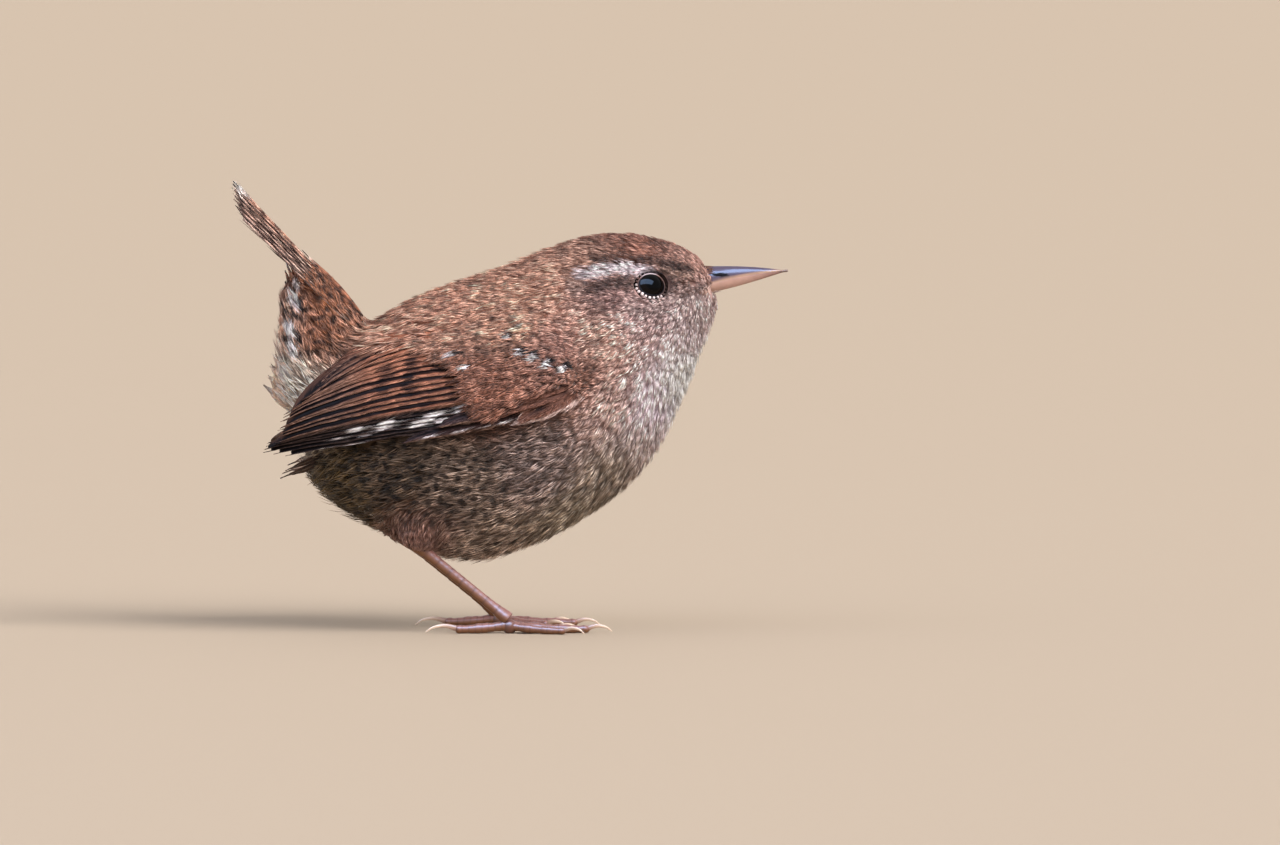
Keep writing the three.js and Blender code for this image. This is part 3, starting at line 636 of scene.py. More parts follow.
def coat(surface, roots, prefix):
    """Feathers over the surface, made into one piece for each part of the bird and side."""
    weight = shares(roots)
    numbers = weight @ NUMBERS
    length = numbers[:, 0] * draw.uniform(0.85, 1.15, len(roots))
    corners, faces, owner, bunch, stand, middle, tip, v = feathers(
        surface, roots, length, numbers[:, 1], numbers[:, 2], 0.04 + 0.011 * length)
    light, dark = colours_at(middle + draw.normal(0, 0.12, middle.shape))
    colours = feather_colours(owner, bunch, stand, tip, v, numbers[:, 3], numbers[:, 4], light, dark)
    down_it = np.stack([tip - 0.6, tip - 0.3, tip - 0.3, tip - 0.3, tip], 1).ravel()
    patch = unwrapped(roots)[owner].repeat(BARB_POINTS, 0)
    wide = np.tile((0, 0.0006, -0.0006, 0, 0), len(v))  # so that no face of the unwrap is flat
    patch += np.stack([v.repeat(BARB_POINTS) * 0.0009 + wide, (down_it - 0.5) * 0.003], 1)
    blocked = in_the_way(corners).reshape(-1, BARB_POINTS).any(1)
    groups = np.array([row[9] for row in PLUMAGE.values()])[weight.argmax(1)]
    for group in sorted(set(groups)):
        for word, side in SIDES.items():
            mine = (groups == group) & ((roots[:, 1] > 0) == (side > 0))
            barbs = mine[owner] & ~blocked
            if not barbs.any():
                continue
            which = np.repeat(barbs, BARB_POINTS)
            new = np.cumsum(which) - 1
            chosen = np.repeat(barbs, len(BARB_FACES))
            mesh = mesh_from(corners[which], new[faces[chosen]], colours[which], patch[which])
            barred(mesh, np.repeat(numbers[owner[barbs], 3], BARB_POINTS))
            finished(f"{prefix}_{group}_{word}", mesh, soft_feather, COAT_SLOTS.get(group, "plumage_flank"))


def barred(mesh, strength):
    """How strongly the rows of dark spots show at each vertex."""
    mesh.attributes.new("barring", "FLOAT", "POINT").data.foreach_set("value", strength.astype(np.float32))


EYE = dict(at=(20.2, 5.8, 50.8), radius=2.6, facing=(0.38, 1, 0.5))
EYE_CLEAR = 2.38  # no barb comes nearer to the eye's middle, seen along its axis
# Boxes without barbs: where each begins in x, and its middle and half size beside the bird and in height
BILL_CLEAR = (28.0, (0, 2.2), (51.9, 1.9))
GAPE_CLEAR = (27.4, (2.1, 0.8), (50.5, 0.45))


def in_the_way(points):
    """Where a barb would cover the eye or cross the bill."""
    x, y, z = points[:, 0], np.abs(points[:, 1]), points[:, 2]
    facing = unit(np.array(EYE["facing"]))
    off = np.stack([x, y, z], 1) - EYE["at"]
    out = off @ facing
    ring = np.linalg.norm(off - out[:, None] * facing, axis=1)
    blocked = (ring < EYE_CLEAR) & (out > 0)
    forehead = np.clip((z - 50.2) * 0.7, 0, 1.2)
    for (start, (beside, wide), (middle, tall)), further in ((BILL_CLEAR, forehead), (GAPE_CLEAR, 0)):
        blocked |= (x > start + further) & (np.abs(y - beside) < wide) & (np.abs(z - middle) < tall)
    return blocked


# Materials


def surface_material(name, roughness, specular, **constants):
    """A material with a Principled shader whose plain values are set on its own sockets."""
    material = bpy.data.materials.new(name)
    material.use_nodes = True
    nodes = material.node_tree.nodes
    nodes.clear()
    output = nodes.new("ShaderNodeOutputMaterial")
    shader = nodes.new("ShaderNodeBsdfPrincipled")
    shader.inputs["Roughness"].default_value = roughness
    shader.inputs["Specular IOR Level"].default_value = specular
    for socket, value in constants.items():
        shader.inputs[socket.replace("_", " ")].default_value = value
    material.node_tree.links.new(shader.outputs[0], output.inputs[0])
    return material, shader


def linked(tree, kind, *sources, **settings):
    """A new node with its settings. Its sources are sockets or plain values, in the order of its inputs, or
    one dict of them by name."""
    node = tree.nodes.new(kind)
    for key, value in settings.items():
        setattr(node, key, value)
    named = sources[0].items() if sources and isinstance(sources[0], dict) else enumerate(sources)
    for key, source in named:
        if isinstance(source, (int, float, tuple)):
            node.inputs[key].default_value = source
        else:
            tree.links.new(source, node.inputs[key])
    return node


def node_group(name, inputs, outputs):
    """A new node group with its input node. Sockets are given as {name: type}."""
    tree = bpy.data.node_groups.new(name, "ShaderNodeTree")
    for way, sockets in (("INPUT", inputs), ("OUTPUT", outputs)):
        for socket, kind in sockets.items():
            tree.interface.new_socket(socket, in_out=way, socket_type="NodeSocket" + kind)
    return tree, tree.nodes.new("NodeGroupInput")


def multiplied(tree, colour, by, cover):
    """A colour multiplied by another where cover says."""
    sources = {"Factor": cover, "A": colour, "B": by}
    return linked(tree, "ShaderNodeMix", sources, data_type="RGBA", blend_type="MULTIPLY").outputs["Result"]


ROW_HEIGHT = 1.65  # from one row of spots to the next
SPOT_STEP = 2.4  # from spot to spot in a row
SPOT_HALF = (0.3, 0.32)  # half a spot's length and height as shares of its step and its row
SPOT_TONE = (0.13, 0.11, 0.1, 1)
ASTRAY = (0.0055, 0, 0.004)  # how far the rows wander, in metres
ASTRAY_SCALE = 240
GRAIN_SHADE = (0.8, 1.2)
GRAIN_RELIEF = {"Strength": 0.25, "Distance": 0.00005}


def spot_rows():
    """Where the short dark bars of the plumage are, in staggered rows along the body."""
    tree, given = node_group("rows of spots", {"Strength": "Float"}, {"Mask": "Float"})
    place = tree.nodes.new("ShaderNodeTexCoord").outputs["Object"]
    noise = linked(tree, "ShaderNodeTexNoise", {"Vector": place, "Scale": ASTRAY_SCALE})

    def vector_node(operation, *sources):
        return linked(tree, "ShaderNodeVectorMath", *sources, operation=operation)

    def math_node(operation, *sources):
        return linked(tree, "ShaderNodeMath", *sources, operation=operation).outputs[0]

    astray = vector_node("SUBTRACT", noise.outputs["Color"], (0.5, 0.5, 0.5)).outputs[0]
    moved = vector_node("MULTIPLY_ADD", astray, ASTRAY, place).outputs[0]
    apart = linked(tree, "ShaderNodeSeparateXYZ", moved)
    row = math_node("MULTIPLY", apart.outputs["Z"], PER_METRE / ROW_HEIGHT)
    nearest = math_node("ROUND", row)
    staggered = math_node("MULTIPLY", math_node("PINGPONG", nearest, 1.0), 0.5)
    column = math_node("MULTIPLY_ADD", apart.outputs["X"], PER_METRE / SPOT_STEP, staggered)
    down = math_node("DIVIDE", math_node("SUBTRACT", row, nearest), SPOT_HALF[1])
    along = math_node("DIVIDE", math_node("SUBTRACT", column, math_node("ROUND", column)), SPOT_HALF[0])
    off = vector_node("LENGTH", linked(tree, "ShaderNodeCombineXYZ", down, along).outputs[0]).outputs["Value"]
    edge = linked(tree, "ShaderNodeMapRange", off, 0.55, 1.25, 1.0, 0.0, interpolation_type="SMOOTHSTEP")
    linked(tree, "NodeGroupOutput", math_node("MULTIPLY", edge.outputs[0], given.outputs["Strength"]))
    return tree


def fine_grain():
    """A colour broken up by a fine grain, and the grain's height."""
    tree, given = node_group("fine grain", {"Colour": "Color", "Scale": "Float"},
                             {"Colour": "Color", "Height": "Float"})
    place = tree.nodes.new("ShaderNodeTexCoord").outputs["Object"]
    scale = given.outputs["Scale"]
    noise = linked(tree, "ShaderNodeTexNoise", {"Vector": place, "Scale": scale, "Detail": 3})
    height = noise.outputs["Fac"]
    low, high = GRAIN_SHADE
    shade = linked(tree, "ShaderNodeMapRange", {"Value": height, "To Min": low, "To Max": high})
    colour = multiplied(tree, given.outputs["Colour"], shade.outputs["Result"], 1.0)
    linked(tree, "NodeGroupOutput", colour, height)
    return tree


ROWS_OF_SPOTS = spot_rows()
FINE_GRAIN = fine_grain()


def painted(name, roughness, specular, scale, spotted=False, **constants):
    """The painted colours, with rows of dark spots where a mesh asks for them, and a fine grain."""
    material, shader = surface_material(name, roughness, specular, **constants)
    tree = material.node_tree
    tone = linked(tree, "ShaderNodeAttribute", attribute_name="tone").outputs["Color"]
    grain = linked(tree, "ShaderNodeGroup", {"Colour": tone, "Scale": scale}, node_tree=FINE_GRAIN)
    colour = grain.outputs["Colour"]
    if spotted:
        wanted = linked(tree, "ShaderNodeAttribute", attribute_name="barring")
        rows = linked(tree, "ShaderNodeGroup", wanted.outputs["Fac"], node_tree=ROWS_OF_SPOTS)
        colour = multiplied(tree, colour, SPOT_TONE, rows.outputs["Mask"])
    relief = linked(tree, "ShaderNodeBump", {**GRAIN_RELIEF, "Height": grain.outputs["Height"]})
    tree.links.new(colour, shader.inputs["Base Color"])
    tree.links.new(relief.outputs["Normal"], shader.inputs["Normal"])
    return material


soft_feather = painted("soft feather", roughness=0.8, specular=0.1, scale=900, spotted=True, Sheen_Weight=0.1)
skin_tone = painted("skin under the coat", roughness=0.9, specular=0.1, scale=1500, spotted=True)
flight_feather = painted("flight feather", roughness=0.7, specular=0.06, scale=900)
horn = painted("bill horn", roughness=0.24, specular=0.4, scale=700)
wet = painted("eye", roughness=0.05, specular=0.09, scale=200)
lid_skin = painted("eyelid", roughness=0.7, specular=0.1, scale=2000)
scutes = painted("leg skin", roughness=0.34, specular=0.5, scale=1600)
claw_horn = painted("claw horn", roughness=0.3, specular=0.5, scale=900)

# Skin

SKIN_DEPTH = 0.2  # how far the skin lies under the coat

body_skin.normal_update()
where = np.array([v.co for v in body_skin.verts])
facing_out = np.array([v.normal for v in body_skin.verts])
skin_numbers = shares(where) @ NUMBERS
sunk = skin_numbers[:, 1] + SKIN_DEPTH
for v, place in zip(body_skin.verts, where - facing_out * sunk[:, None]):
    v.co = place
smoothed(body_skin, rounds=4)
skin_light, skin_dark = colours_at(where)
skin = shaped("skin", body_skin, skin_tone, "plumage_flank", flesh)
# Painted darker than the plumage, as painted shade in the gaps between the feathers.
paint(skin.data, mix(skin_light, skin_dark, 0.35) * 0.9)
barred(skin.data, skin_numbers[:, 3])

# Feathers of the body

# Where soft feathers cover the front of the wing and its upper edge, seen from the side as [x, z]
SOFT_WING = [(-19, 43.4), (-12, 43.9), (-9.4, 41.9), (-6.4, 38.4), (-5.4, 34.2), (-2, 32.8), (1.4, 34.8),
             (5.6, 37.3), (10.4, 38), (12, 34), (16, 34), (16, 48), (6, 52), (-19, 50)]
# The wing's lower edge, seen from the side
WING_EDGE = ((-36, -30, -15, 0, 9), (25.2, 26.2, 28.4, 31.6, 34.2))
BODY_PLACES, WING_PLACES = 40000, 60000  # tried for feathers
SPACING_SHARE = 0.31  # from feather to feather as a share of their length
LEAST_SPACING = 0.5
WING_SPACING = 0.95
RUMP = (-13, 36.5)  # behind and above here the body keeps its feathers beside the wings
UPPER_SIDE = 36  # above this the feathers lie over the wings' upper edges
UNDER_WING_DEPTH = 1.5  # deeper than this under the wings the body has no feathers
OFF_BODY = 0.6  # as far as the wings' front stands off the body where it has its own


def inside(points, outline):
    """Which places lie inside an outline drawn in the side view."""
    x, z = points[:, 0], points[:, 2]
    within = np.zeros(len(points), bool)
    for (ax, az), (bx, bz) in zip(outline, outline[1:] + outline[:1]):
        crosses = (az > z) != (bz > z)
        within ^= crosses & (x < ax + (z - az) * (bx - ax) / (bz - az + 1e-12))
    return within


def distance_between(one, other):
    """How far each place is from its fellow."""
    return np.linalg.norm(one - other, axis=1)


def body_feathers():
    """The coat of the body, but for what the wings cover, and the soft feathers of the wings' front."""
    places = body.scattered(BODY_PLACES)
    gap = np.maximum((shares(places) @ NUMBERS)[:, 0] * SPACING_SHARE, LEAST_SPACING)
    places = places[thinned(places, gap)]
    at_rump = (places[:, 0] < RUMP[0]) & (places[:, 2] > RUMP[1])
    covered = (distance_between(outer.under(places)[0], places) > UNDER_WING_DEPTH) & ~at_rump
    covered &= places[:, 2] > np.interp(places[:, 0], *WING_EDGE)
    places, at_rump = places[~covered], at_rump[~covered]
    on_top = (places[:, 2] > UPPER_SIDE) & ~at_rump
    on_wing = outer.scattered(WING_PLACES)
    clear = distance_between(body.under(on_wing)[0], on_wing) > OFF_BODY
    on_wing = on_wing[clear & inside(on_wing, SOFT_WING)]
    on_wing = on_wing[thinned(on_wing, np.full(len(on_wing), WING_SPACING))]
    coat(outer, on_wing, "coat_wing")
    coat(outer, places[on_top], "coat")
    coat(body, places[~on_top], "coat_low")


body_feathers()

# Wings

# The folded wing from above as [x, how far out], then pairs of values for its front and its rear
WING_PLAN = np.array([[15, 12.6], [9, 15.4], [2, 16.8], [-8, 16.9], [-20, 14.2], [-36, 7.8]])
WING_LEVEL = (32, 29)  # above this the wing leans in over the back
TUCK_LEVEL = (34.6, 29)  # below this it turns in to the body
LEAN_ABOVE = (15, 11.5)  # the radius of its curve above
LEAN_BELOW = (5, 24)  # the radius of its curve below
WING_SINKS_AT = (6, 14)  # between these its front sinks under the soft feathers
WING_ENDS = (4, -22)  # where the values for its front and its rear hold
LAYER = 0.12  # the height of one layer of feathers
VANE = (0.16, 0.07)  # thickness at the root and at the tip
BAR_STEP = 3.6  # from bar to bar across the folded wing

# Each tract of the folded wing, drawn by the lower edge of its outermost and innermost feather as [x, z],
# with their sag, width and layer, the rows and barbs of a vane, and the width of the strip of it that shows
TRACTS = {
    "primaries": dict(
        count=7, root=[(3.5, 32.4), (7.2, 35.8)], tip=[(-29.8, 26.6), (-33.6, 28.3)], ease=1.2,
        sag=(-0.4, -1.2), width=(3.4, 2.8), layer=(0, 8), farthest=-35.9, rows=80, barbs=420, strip=0.58),
    "secondaries": dict(
        count=7, root=[(7.0, 36.2), (-2.0, 40.0)], tip=[(-34.0, 28.8), (-32.2, 32.6)],
        sag=(-1.2, -1.9), width=(4.0, 3.8), layer=(9, 14), rows=80, barbs=420, strip=0.66),
    "tertials": dict(
        count=5, root=[(-3.4, 40.8), (-8.0, 44.0)], tip=[(-31.8, 33.2), (-28.8, 35.8)],
        sag=(-1.8, -1.4), width=(3.8, 1.9), layer=(14.8, 17.4), rows=60, barbs=420, strip=0.7),
    "primary coverts": dict(
        count=2, root=[(9.4, 33.8), (8.6, 35.2)], tip=[(-15.4, 28.8), (-10.4, 31.0)],
        sag=(0.2, 0.3), width=(1.9, 2.0), layer=(9.5, 12.5), rows=40, barbs=260, strip=0.95, open=True),
    "greater coverts": dict(
        count=9, root=[(10.2, 35.9), (1.8, 42.0)], tip=[(-4.2, 31.9), (-9.6, 41.0)],
        sag=(0.2, -0.6), width=(3.0, 3.4), layer=(15.5, 19), rows=30, barbs=300, strip=1.0),
    "alula": dict(
        count=1, root=[(12.2, 36.8), (12.2, 36.8)], tip=[(1.0, 31.4), (1.0, 31.4)], taper=0.8,
        sag=(0.9, 0.9), width=(4.2, 4.2), layer=(16.5, 16.5), rows=50, barbs=500, strip=2.1),
}


def bent(points, count):
    """Points along a smooth curve through the given ones."""
    points = np.asarray(points, float)
    held = np.vstack([2 * points[0] - points[1], points, 2 * points[-1] - points[-2]])
    at = np.linspace(0, 1, count) * (len(points) - 1)
    i = np.minimum(at.astype(int), len(points) - 2)
    w = (at - i)[:, None]
    before, a, b, after = held[i], held[i + 1], held[i + 2], held[i + 3]
    out, into = 0.5 * (b - before), 0.5 * (after - a)
    return a + out * w + (3 * (b - a) - 2 * out - into) * w**2 + (2 * (a - b) + out + into) * w**3


plan_line = bent(WING_PLAN, 61)[::-1]


def wing_out(x, z):
    """How far from the middle of the bird the wing's lowest layer lies."""
    out = np.interp(x, plan_line[:, 0], plan_line[:, 1])
    back = np.clip((WING_ENDS[0] - x) / (WING_ENDS[0] - WING_ENDS[1]), 0, 1)
    above = np.maximum(z - mix(*WING_LEVEL, back), 0)
    below = np.maximum(mix(*TUCK_LEVEL, back) - z, 0)
    return out - above**2 / (2 * mix(*LEAN_ABOVE, back)) - below**2 / (2 * mix(*LEAN_BELOW, back))


def standing(x):
    """How much of its height over the body the wing has, as its front sinks under the soft feathers."""
    return 1 - smooth((x - WING_SINKS_AT[0]) / (WING_SINKS_AT[1] - WING_SINKS_AT[0]))


def sheet(place, rows, columns):
    """A thin closed plate. place(s, t, under) gives its outer and under side for shares along and across."""
    s, t = np.meshgrid(np.asarray(rows), np.asarray(columns), indexing="ij")
    sides = [place(s.ravel(), t.ravel(), under) for under in (0, 1)]
    count = s.size
    index = np.arange(count).reshape(s.shape)
    a, b, c, d = index[:-1, :-1], index[1:, :-1], index[1:, 1:], index[:-1, 1:]
    top = np.concatenate([np.stack([a, b, c], -1).reshape(-1, 3), np.stack([a, c, d], -1).reshape(-1, 3)])
    rim = np.concatenate([index[:-1, 0], index[-1, :-1], index[:0:-1, -1], index[0, :0:-1]])
    after = np.roll(rim, -1)
    wall = np.concatenate([
        np.stack([rim, rim + count, after + count], 1), np.stack([rim, after + count, after], 1)])
    faces = np.concatenate([top, top[:, ::-1] + count, wall])
    return np.concatenate(sides), faces, np.tile(s.ravel(), 2), np.tile(t.ravel(), 2)


def barbs_on(place, count, length, across, lower_share=0.5, thickness=(0.045, 0.09)):
    """Fine barbs that lie on a vane, from its shaft towards its edges and its tip. across gives the shares
    where the shaft and the two edges are. Returns points, faces, and shares along and across."""
    shaft, low, high = across
    outward = draw.random(count) < lower_share
    edge = np.where(outward, low, high)
    v0, v1 = np.sort(draw.uniform(0, 1.08, (2, count)), axis=0)
    v1 = np.maximum(v1, v0 + 0.3) * draw.uniform(1, 1.06, count)
    s0 = draw.uniform(0.0, 0.97, count)
    run = draw.uniform(1.4, 3.4, count) / length * (1.6 if shaft < 0.4 else 1)
    s = np.stack([s0, s0 + run * 0.5, np.minimum(s0 + run, 1.012)], 1)
    t = shaft + (edge - shaft)[:, None] * np.stack([v0, mix(v0, v1, 0.55), v1], 1)
    p0, p1, p2 = (place(s[:, k], t[:, k], 0) for k in range(3))
    out = np.array((0, -1, 0.15))
    flat = unit(np.cross(out, unit(p2 - p0)))
    thick = draw.uniform(*thickness, count)[:, None]
    up = out * draw.uniform(0.02, 0.09, count)[:, None]
    corners = np.stack([p0 - up, p1 + up + flat * thick, p1 + up - flat * thick, p1 - up, p2 + up * 0.6], 1)
    ring = [0, 1, 1, 1, 2]
    return corners.reshape(-1, 3), spindles(count), s[:, ring].ravel(), t[:, ring].ravel()


def wing_vane(root, tip, sag, width, columns, layer, rows, barbs, shown, taper, reach):
    """One feather of the folded right wing: its vane and the barbs on it."""
    length = np.linalg.norm(tip - root)
    ahead = (tip - root) / length
    up = np.array((ahead[1], -ahead[0])) * np.sign(-ahead[0])
    uneven = draw.normal(0, 1, 8)
    at_rows = 1 - (1 - np.linspace(0, 1, rows)) ** 1.15

    def place(s, t, under):
        spread = mix(0.55, 1, smooth(s / 0.45))
        outline = width * spread * np.sqrt(np.clip((1.004 - s) / taper, 0, 1))
        edge = 0.05 * np.sin(s * 23 + uneven[0]) * (1 - t) + 0.03 * np.sin(s * 61 + uneven[1]) * (1 - t)
        bow = -sag * 4 * s * (1 - s) + t * outline + edge + 0.12 * uneven[2] * s
        x = mix(root[0], tip[0], s) + up[0] * bow
        z = mix(root[1], tip[1], s) + up[1] * bow
        shaft = 0.07 * np.exp(-(((t - 0.3) / 0.05) ** 2)) * (1 - s)
        edge_lift = mix(0.3, -0.2, t) + 0.1 * (1 - ((t - 0.2) / 0.3) ** 2) * (t < 0.5)
        lift = (layer * LAYER + edge_lift) * standing(x) + shaft - under * mix(*VANE, s)
        return np.stack([x, -(wing_out(x, z) + lift), z], 1)

    if shown < 0.25:
        lain = barbs_on(place, barbs, length, (shown * 0.5, -0.01, shown), 0.88, (0.03, 0.05))
    else:
        lower_share = 0.72 if reach < 1.1 else 0.4
        lain = barbs_on(place, barbs, length, (shown, -0.01, reach), lower_share, (0.04, 0.08))
    return sheet(place, at_rows, columns), lain


RUFOUS = linear((126, 80, 62)) * 1.75
WING_BROWN = linear((62, 50, 47))
WING_DARK = linear((26, 18, 17))
WHITE = linear((236, 226, 234))
BUFF = linear((170, 134, 116))
COVERT_BROWN = linear((102, 70, 60))
UNDER_WING = linear((142, 118, 106))

# White chequers low on the folded wing: place [x, z], half length, half height and how white it is
CHEQUERS = [(-22.8, 30.5, 1.1, 0.34, 1), (-18.7, 30.8, 1.3, 0.32, 1), (-18.2, 31.6, 1.1, 0.3, 1),
            (-13.9, 31.1, 1.2, 0.22, 0.9), (-12.8, 31.9, 1.6, 0.3, 0.95), (-11.2, 32.9, 1.6, 0.3, 1),
            (-10.0, 32.0, 1.2, 0.3, 0.9), (-7.4, 33.4, 1.1, 0.26, 0.8), (-6.9, 34.2, 1.0, 0.22, 0.7),
            (-27.7, 27.4, 1.1, 0.2, 0.8), (-23.6, 28.1, 1.2, 0.2, 0.8), (-19.1, 28.8, 1.3, 0.22, 0.8),
            (-15.1, 29.4, 1.1, 0.2, 0.7), (-25.6, 29.0, 1.0, 0.16, 0.6), (-21.4, 29.7, 1.0, 0.16, 0.6),
            (-12.1, 29.6, 1.2, 0.17, 0.8), (-7.4, 30.4, 1.3, 0.18, 0.8), (-3.7, 31.1, 0.9, 0.18, 0.7),
            (-0.9, 31.8, 1.2, 0.18, 0.8)]
# The line below which the wing is near black, seen from the side
DARK_BELOW = ((-36, -25.5, -15.2, -6.2, 0), (28.0, 30.9, 33.3, 34.5, 34.8))


def chequered(x, z):
    """How white the wing is at each place."""
    white = np.zeros(len(x))
    for *mark, strength in CHEQUERS:
        white = np.maximum(white, strength * (1 - smooth((off_mark(x, z, mark, 0.24) - 0.8) / 0.35)))
    return white


def band(at, duty, soft):
    """Where a pattern that repeats once for each unit is on."""
    apart = np.abs(at - np.round(at)) * 2
    return 1 - smooth((apart - duty + soft) / (2 * soft))


def bar_column(x, z):
    """Which of the wing's slanting bars each place is at, as a whole number on the middle of a bar."""
    return (x + 14.8 - 0.15 * (z - 38.5)) / BAR_STEP


def flight_colour(tract, index, x, z, t, noise, gap):
    """Rufous with dark bars above, and near black with white chequers below. Also how dark the gap beside the
    next feather is: a painted shadow under its edge, over the vane's own dark inner part."""
    column = bar_column(x, z)
    rear = smooth((-17 - x) / 9)
    nearest = np.round(column)
    block = 0.9 + 0.1 * np.sin(index * 2.9 + nearest * 1.9)
    window = smooth((z - 35.2 - 3.8 * (nearest == 1)) / 0.6)
    window *= smooth((45.0 - 4.4 * (nearest == -1) - z) / 0.8)
    kept = np.where(np.abs(nearest) <= 1, 0.25 + 0.75 * window, 0.25)
    bar = band(column + 0.1 * math.sin(index * 1.7), 0.5, 0.1) * block * kept
    # Darker towards the wing's lower part, as painted shade.
    shade = mix(0.66, 1, smooth((z - 33.6 - 0.25 * (x + 19)) / 4))
    base = laid(RUFOUS, WING_BROWN, rear * 0.8) * (mix(0.84, 1.12, noise) * shade)[:, None]
    base = laid(base, WING_DARK * 0.8, bar * (1 - 0.6 * rear))
    base = laid(base, BUFF, 0.34 * smooth((0.3 - t) / 0.2) * (1 - bar))
    deep = laid(WING_DARK * 0.7, WING_BROWN * 1.2, smooth((0.24 - t) / 0.1) * (0.5 + 0.5 * noise))
    low = smooth((np.interp(x, *DARK_BELOW) - z + 0.3) / 0.6)
    spot = chequered(x, z)
    gap = gap * (1 - 0.8 * spot)
    if tract == "tertials":
        gap = gap * (0.5 + 0.5 * smooth((-11 - x) / 8))
    return laid(laid(base, deep, low), WHITE * 1.5, spot), gap


def primary_covert_colour(x, z, t):
    """Dark, with a pale lower edge that is white where the chequers are."""
    colour = laid(linear((62, 46, 46)), WING_DARK, smooth((t - 0.55) / 0.2) * (1 - smooth((t - 0.8) / 0.1)))
    colour = laid(colour, WHITE, chequered(x, z) * smooth((0.34 - t) / 0.1))
    return laid(colour, BUFF * 0.6, 0.7 * smooth((0.12 - t) / 0.06))


def alula_colour(s, t):
    """Brown with two dark centres and a pale fringe."""
    centre = sum(np.exp(-(((s - at) / 0.12) ** 2) - (((t - 0.62) / 0.24) ** 2)) for at in (0.3, 0.68))
    colour = laid(COVERT_BROWN * 0.9, WING_DARK, np.clip(centre, 0, 1))
    fringe = smooth((0.07 - t) / 0.04) + smooth((t - 1.05) / 0.04) + smooth((s - 0.98) / 0.02)
    return laid(colour, mix(BUFF, WHITE, 0.3), np.clip(fringe, 0, 1) * 0.75)


def wing_colour(tract, index, points, s, t):
    """Bars and chequers across the folded wing, as the feather lies. t is 0 at a feather's lower edge and 1
    where the next one covers it."""
    x, z = points[:, 0], points[:, 2]
    noise = 0.5 + 0.5 * np.sin(x * 3.1 + index * 2.3)
    # The gap under the next feather's edge: a painted shadow, over the vane's own dark inner part.
    gap = smooth((t / mix(1.05, 0.8, s) - 0.58) / 0.1) * smooth((3.4 - t) / 0.6)
    if index == TRACTS[tract]["count"] - 1 and tract not in ("secondaries", "tertials"):
        gap = gap * 0
    if tract in ("primaries", "secondaries", "tertials"):
        colour, gap = flight_colour(tract, index, x, z, t, noise, gap)
    elif tract == "primary coverts":
        colour, gap = primary_covert_colour(x, z, t), gap * 0.5
    elif tract == "alula":
        colour, gap = alula_colour(s, t), gap * 0
    else:
        bar = band(bar_column(x, z) * 1.3 + 0.5 * index, 0.2, 0.3) * 0.3
        colour = laid(COVERT_BROWN * mix(0.8, 1.2, noise)[:, None], WING_DARK, bar)
        gap = gap * 0.15
    # The painted shadow of the gap laid over the feather's colour.
    return laid(colour, WING_DARK * 0.3, gap * 0.95)


def vane_patches(s, t, faces):
    """A vane's corners in its field of the unwrap: its outer side, its under side above it, and its rim."""
    half = len(s) // 2
    under = np.arange(len(s)) >= half
    places = np.stack([0.95 * s, 0.2 * t + 0.3 * under], 1)
    rim = under[faces].any(1) & ~under[faces].all(1)
    beside = places[faces % half] - (0, 0.01)
    return np.where((rim[:, None] & under[faces])[..., None], beside, places[faces]).reshape(-1, 2)


def barb_patches(s, t, faces):
    """The corners of barbs in the same field, each barb a small patch at its root's place."""
    root = np.stack([0.9 * s, 0.6 + 0.3 * np.clip(t, 0, 1)], 1).reshape(-1, BARB_POINTS, 2)[:, :1]
    small = np.array([(0, 0), (0.5, 0.4), (0.5, -0.4), (0.5, 0), (1, 0)]) * 0.018
    return (root + small).reshape(-1, 2)[faces.ravel()]


def gathered(parts):
    """Several [points, faces, colours, patches] as one, with a field of the unwrap for every two."""
    points, faces, colours, patches = zip(*parts)
    first = np.cumsum([0] + [len(p) for p in points[:-1]])
    fields = math.ceil(math.sqrt(len(parts) / 2))
    patches = [(field + np.array(divmod(i // 2, fields)) + 0.02) / fields for i, field in enumerate(patches)]
    return (np.concatenate(points), np.concatenate([f + at for f, at in zip(faces, first)]),
            np.concatenate(colours), np.concatenate(patches))


def streaked(colours, count):
    """Barbs lighter or darker than their neighbours, with painted shade at root and underside and a pale tip.
    """
    # The root and the underside point are darkened as painted shade, and the tip is paler.
    tone = np.exp(draw.normal(0, 0.3, count))[:, None] * (0.7, 1.05, 1.05, 0.9, 1.3)
    return colours * tone.reshape(-1, 1)


def ends_at(tract, t):
    """The root and the tip of a feather of a tract, from its first at 0 to its last at 1."""
    return (mix(*np.array(tract[end], float), t) for end in ("root", "tip"))


